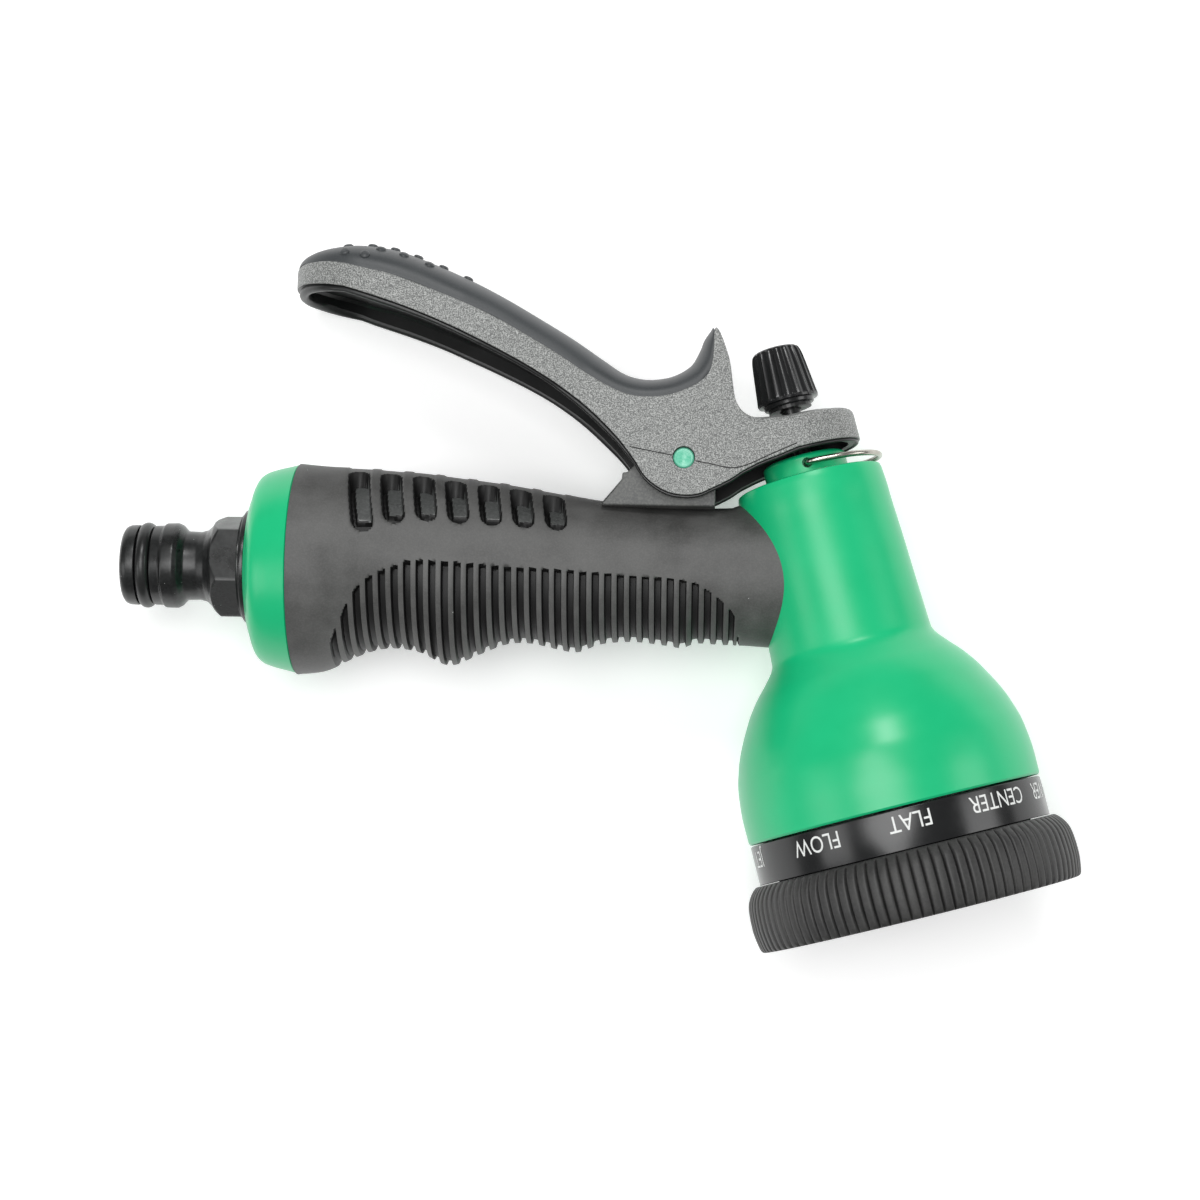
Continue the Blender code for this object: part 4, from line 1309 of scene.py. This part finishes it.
@dataclass
class SprayHead:
    """Turning head: label band, ribbed ring and the spray face with its nine patterns.

    Attributes:
        word_turns: Place of a word in the row, against its angle from the near side in degrees.
        ribs: Ribs round the ring.
    """

    word_turns: tuple = ((0, 1, 4, 9), (-75.5, -37.0, 75.5, 284.5))
    ribs: int = 96
    rib_depth: float = 0.85
    band_radius: float = 29.95
    letter_height: float = 3.4
    letter_squeeze: float = 0.84
    word_s: float = 50.6
    band: tuple = ((26.3, 49.35), (29.75, 49.35), (29.95, 49.55), (29.95, 57.3), (26.3, 57.3))
    ring: tuple = (
        (30.0, 57.45), (30.9, 57.5), (32.0, 58.5), (32.8, 59.7), (33.25, 60.9), (33.5, 62.5), (33.6, 64.5),
        (33.6, 66.2), (33.4, 68.0), (33.1, 69.6), (32.8, 70.3), (32.4, 70.5), (29.95, 70.5),
    )
    face: tuple = (
        (2.1, 66.0), (2.1, 68.4), (5.6, 68.4), (6.4, 68.0), (8.4, 68.0), (9.2, 68.5), (25.6, 68.5),
        (26.4, 68.1), (27.2, 68.5), (29.0, 68.5), (29.6, 67.9), (29.6, 57.6), (26.0, 57.6), (26.0, 52.5),
        (23.8, 52.5), (23.8, 66.0),
    )
    screw: tuple = (
        (0, 69.9), (2.6, 69.8), (3.7, 69.5), (4.3, 69.0), (4.5, 68.7), (4.4, 68.55), (1.5, 68.5), (1.5, 55.0),
        (0, 55.0),
    )
    pattern_radius: float = 16.0
    pocket_span: tuple = (67.6, 70.0)
    hole_span: tuple = (66.3, 69.5)
    inset: float = 5.0

    def word(self, text: str, turn: float) -> Skin:
        """Wrap one word round the band, tops of the letters towards the spray face.

        Args:
            text: The word.
            turn: Where its middle stands, in degrees from the near side.

        Returns:
            The word's skin.
        """
        curve = bpy.data.curves.new(text, "FONT")
        curve.body = text
        curve.size = self.letter_height / CAP_HEIGHT
        curve.align_x = "CENTER"
        curve.resolution_u = 4
        obj = bpy.data.objects.new(text, curve)
        bpy.context.scene.collection.objects.link(obj)
        bpy.context.view_layer.update()
        depsgraph = bpy.context.evaluated_depsgraph_get()
        mesh = bpy.data.meshes.new_from_object(obj.evaluated_get(depsgraph))
        shape = bmesh.new()
        shape.from_mesh(mesh)
        bmesh.ops.triangulate(shape, faces=shape.faces)
        for _ in range(2):
            bmesh.ops.subdivide_edges(
                shape, edges=[e for e in shape.edges if e.calc_length() > 0.9], cuts=1, use_grid_fill=False
            )
            bmesh.ops.triangulate(shape, faces=shape.faces)
        shape.to_mesh(mesh)
        shape.free()
        flat = np.empty(len(mesh.vertices) * 3)
        mesh.vertices.foreach_get("co", flat)
        x, y, _ = flat.reshape(-1, 3).T
        faces = [list(polygon.vertices) for polygon in mesh.polygons]
        bpy.data.objects.remove(obj)
        bpy.data.curves.remove(curve)
        bpy.data.meshes.remove(mesh)
        angle = math.radians(90 - turn) + x * self.letter_squeeze / self.band_radius
        radius = self.band_radius + 0.035
        points = np.stack([radius * np.cos(angle), radius * np.sin(angle), self.word_s + y], 1)
        return Skin(SPACE.bell(points), faces, [0] * len(faces))

    def pattern_holes(self, pattern: Spray) -> list[tuple[float, float, float]]:
        """Holes of one pattern, about its own centre.

        Args:
            pattern: The spray pattern.

        Returns:
            Each hole as (x, y, radius).
        """
        ring = {
            Spray.JET: [(0, 1, 1.5)],
            Spray.FLOW: [(0, 1, 1.7), (3.1, 6, 0.45)],
            Spray.FLAT: [],
            Spray.CENTER: [(0, 1, 0.9), (2.6, 8, 0.5)],
            Spray.SHOWER: [(0, 1, 0.45), (1.6, 6, 0.45), (3.2, 12, 0.45)],
            Spray.MIST: [(0, 1, 0.7)],
            Spray.CONE: [(2.4, 12, 0.55)],
            Spray.SOAKER: [(0, 1, 0.8), (2.7, 6, 0.8)],
            Spray.ANGLE: [],
        }[pattern]
        holes = []
        for radius, count, size in ring:
            for k in range(count):
                a = 2 * math.pi * k / count
                holes.append((radius * math.cos(a), radius * math.sin(a), size))
        if pattern is Spray.FLAT:
            holes += [(x, 0.0, 0.5) for x in np.arange(-3.2, 3.3, 1.28)]
        if pattern is Spray.ANGLE:
            holes += [(x * 0.7, x * 0.7, 0.55) for x in np.arange(-3.2, 3.3, 1.6)]
        return holes

    def build(self, shop: Workshop) -> None:
        """Build the band, the words, the ribbed ring, the spray face and the screw."""
        band = bell_skin(turned(eased(self.band, 0.12, 4), 192))
        shop.piece("pattern_band", [band], ["gloss"], Body.DIAL, ["label_band"])
        turns = np.interp(np.arange(len(Spray)), *self.word_turns)
        words = [self.word(kind.value, turn) for kind, turn in zip(Spray, turns)]
        shop.piece("pattern_words", words, ["ink"], Body.DIAL)
        self.build_ring(shop)
        self.build_face(shop)

    def build_ring(self, shop: Workshop) -> None:
        """Build the ribbed ring: round-topped ribs parted by narrow grooves, and a faint mould line."""
        outer = smooth_line(self.ring[:-1], 44)
        profile = np.vstack([outer, self.ring[-1:]])
        per_rib = 10
        steps = self.ribs * per_rib
        grid = turned(profile, steps)
        phase = (np.arange(steps) % per_rib) / per_rib
        rib = 1 - np.clip(1.25 * np.abs(2 * phase - 1) ** 8 + 0.12 * np.abs(2 * phase - 1) ** 2, 0, 1)
        s = profile[:, 1][:, None]
        fade = np.clip((s - 57.5) / 0.7, 0, 1) * np.clip((70.6 - s) / 0.25, 0, 1)
        line = 0.12 * np.exp(-(((s - 64.0) / 0.12) ** 2))
        radius = profile[:, 0][:, None]
        scale = 1 - (self.rib_depth * fade * (1 - rib)[None] - line * rib[None]) / radius
        grid[..., :2] *= scale[..., None]
        skin = bell_skin(grid)
        shop.piece("ribbed_ring", [skin], ["ribs"], Body.DIAL, ["grip_ring"], crease=60)

    def build_face(self, shop: Workshop) -> None:
        """Build the spray face, sink each pattern's pocket, drill its holes and add the screw."""
        face = bell_skin(turned(eased(self.face, 0.2, 3), 144))
        plate = shop.piece("spray_face", [face], ["gloss"], Body.DIAL, ["face_plate"])
        pockets, holes = [], []
        for k, pattern in enumerate(Spray):
            a = math.radians(90 + 360 * k / len(Spray))
            x, y = self.pattern_radius * math.cos(a), self.pattern_radius * math.sin(a)
            pockets.append(bell_skin(rod(self.inset, *self.pocket_span, (x, y), 48), False))
            for dx, dy, size in self.pattern_holes(pattern):
                turn_x = dx * math.cos(a) - dy * math.sin(a)
                turn_y = dx * math.sin(a) + dy * math.cos(a)
                drill = rod(size, *self.hole_span, (x + turn_x, y + turn_y), 14)
                holes.append(bell_skin(drill, False))
        cut(plate, pockets)
        cut(plate, holes)
        head = bell_skin(turned(np.array(self.screw), 64), False)
        screw = shop.piece("centre_screw", [head], ["steel"], Body.HOUSING, ["dial_screw"])
        for turn in (0, 90):
            bar = np.array([(-2.3, -0.45), (2.3, -0.45), (2.3, 0.45), (-2.3, 0.45)])
            a = math.radians(turn + 20)
            spin = np.array([(math.cos(a), math.sin(a)), (-math.sin(a), math.cos(a))])
            flat = bar @ spin
            levels = np.array([68.9, 71.0])
            grid = np.stack([np.concatenate([flat, np.full((4, 1), level)], 1) for level in levels])
            box = bell_skin(grid, False)
            box.faces += [[3, 2, 1, 0], [4, 5, 6, 7]]
            box.zones += [0, 0]
            cut(screw, [box])


@dataclass(frozen=True)
class InnerParts:
    """CAD pieces that keep their shape and only take a finish."""

    dress: tuple = (
        ("valve_stem", "spigot"), ("valve_poppet", "brass"), ("valve_seat", "brass"),
        ("poppet_washer", "o_ring"), ("knob_washer", "o_ring"), ("valve_spring", "steel"),
        ("gland_o_ring", "o_ring"), ("inlet_washer", "o_ring"), ("distributor_disc", "spigot"),
        ("dial_gasket", "o_ring"), ("detent_spring", "steel"), ("detent_ball", "steel"),
    )

    def build(self, shop: Workshop) -> None:
        """Give each inner piece its finish."""
        for name, finish in self.dress:
            obj = bpy.data.objects[name]
            obj.data.materials.clear()
            obj.data.materials.append(shop.finishes[finish])
            LOG.info("%-22s dressed in %s", name, finish)


@dataclass
class Studio:
    """Pale floor, soft lights and the camera above the nozzle."""

    camera_at: tuple = (0.00095, -0.0007, 0.5775)
    camera_turn: float = 1.0
    lens: float = 81.0
    floor_size: float = 12.0
    floor_glow: float = 0.30
    world_glow: float = 0.27
    lights: tuple = (
        ("overhead_softbox", (-0.12, 0.06, 0.80), (0, 0, 0), 0.45, 3.4),
        ("back_softbox", (-0.03, 0.62, 0.72), (0.03, 0, 0), 0.25, 2.6),
        ("left_softbox", (-0.70, -0.15, 0.55), (0, 0, 0), 0.40, 1.3),
        ("right_softbox", (0.75, 0.10, 0.45), (0.05, 0, 0), 0.40, 1.6),
    )

    def build(self) -> None:
        """Build the floor, the lights, the world and the camera."""
        scene = bpy.context.scene
        scene.view_settings.view_transform = "Standard"
        grid = (np.stack(np.meshgrid([-0.5, 0.5], [-0.5, 0.5], [0.0]), -1)[:, :, 0]) * self.floor_size
        mesh = bpy.data.meshes.new("floor")
        mesh.from_pydata(grid.reshape(-1, 3).tolist(), [], [[0, 1, 3, 2]])
        floor = bpy.data.objects.new("floor", mesh)
        scene.collection.objects.link(floor)
        paper = Finish("matt_white_paper", "#FCFCFC", "#FAFAFA", "#FFFFFF", 0.9, grain_mm=2, patch_mm=300)
        mesh.materials.append(paper.build())
        shader = mesh.materials[0].node_tree.nodes["Principled BSDF"]
        shader.inputs["Emission Color"].default_value = (1, 1, 1, 1)
        shader.inputs["Emission Strength"].default_value = self.floor_glow
        world = bpy.data.worlds.new("studio")
        world.use_nodes = True
        world.node_tree.nodes["Background"].inputs["Color"].default_value = (1, 1, 1, 1)
        world.node_tree.nodes["Background"].inputs["Strength"].default_value = self.world_glow
        scene.world = world
        for row in self.lights:
            self.light(*row)
        data = bpy.data.cameras.new("camera")
        data.lens = self.lens
        data.sensor_width = 36
        data.clip_start = 0.05
        camera = bpy.data.objects.new("camera", data)
        camera.location = self.camera_at
        camera.rotation_euler = (0, 0, math.radians(self.camera_turn))
        scene.collection.objects.link(camera)
        scene.camera = camera

    def light(self, name: str, at: tuple, to: tuple, size: float, watts: float) -> None:
        """Add one square softbox that faces a point.

        Args:
            name: Name of the light.
            at: Where it stands, in metres.
            to: The point that it faces.
            size: Side of the softbox in metres.
            watts: Its power.
        """
        data = bpy.data.lights.new(name, "AREA")
        data.size = size
        data.energy = watts
        lamp = bpy.data.objects.new(name, data)
        lamp.location = at
        lamp.rotation_euler = (Vector(to) - Vector(at)).to_track_quat("-Z", "Y").to_euler()
        bpy.context.scene.collection.objects.link(lamp)


def main() -> None:
    """Build every piece of the nozzle, then the studio round it."""
    logging.basicConfig(level=logging.INFO, format="%(name)s: %(message)s")
    shop = Workshop({key: finish.build() for key, finish in FINISHES.items()})
    parts = (NeckAndDome, EndCap, Grip, Spigot, Bracket, PivotPin, Gland, Lever, Knob, SprayHead)
    for part in parts:
        part().build(shop)
    InnerParts().build(shop)
    Studio().build()
    LOG.info("%d pieces made", shop.count)


if __name__ == "__main__":
    main()
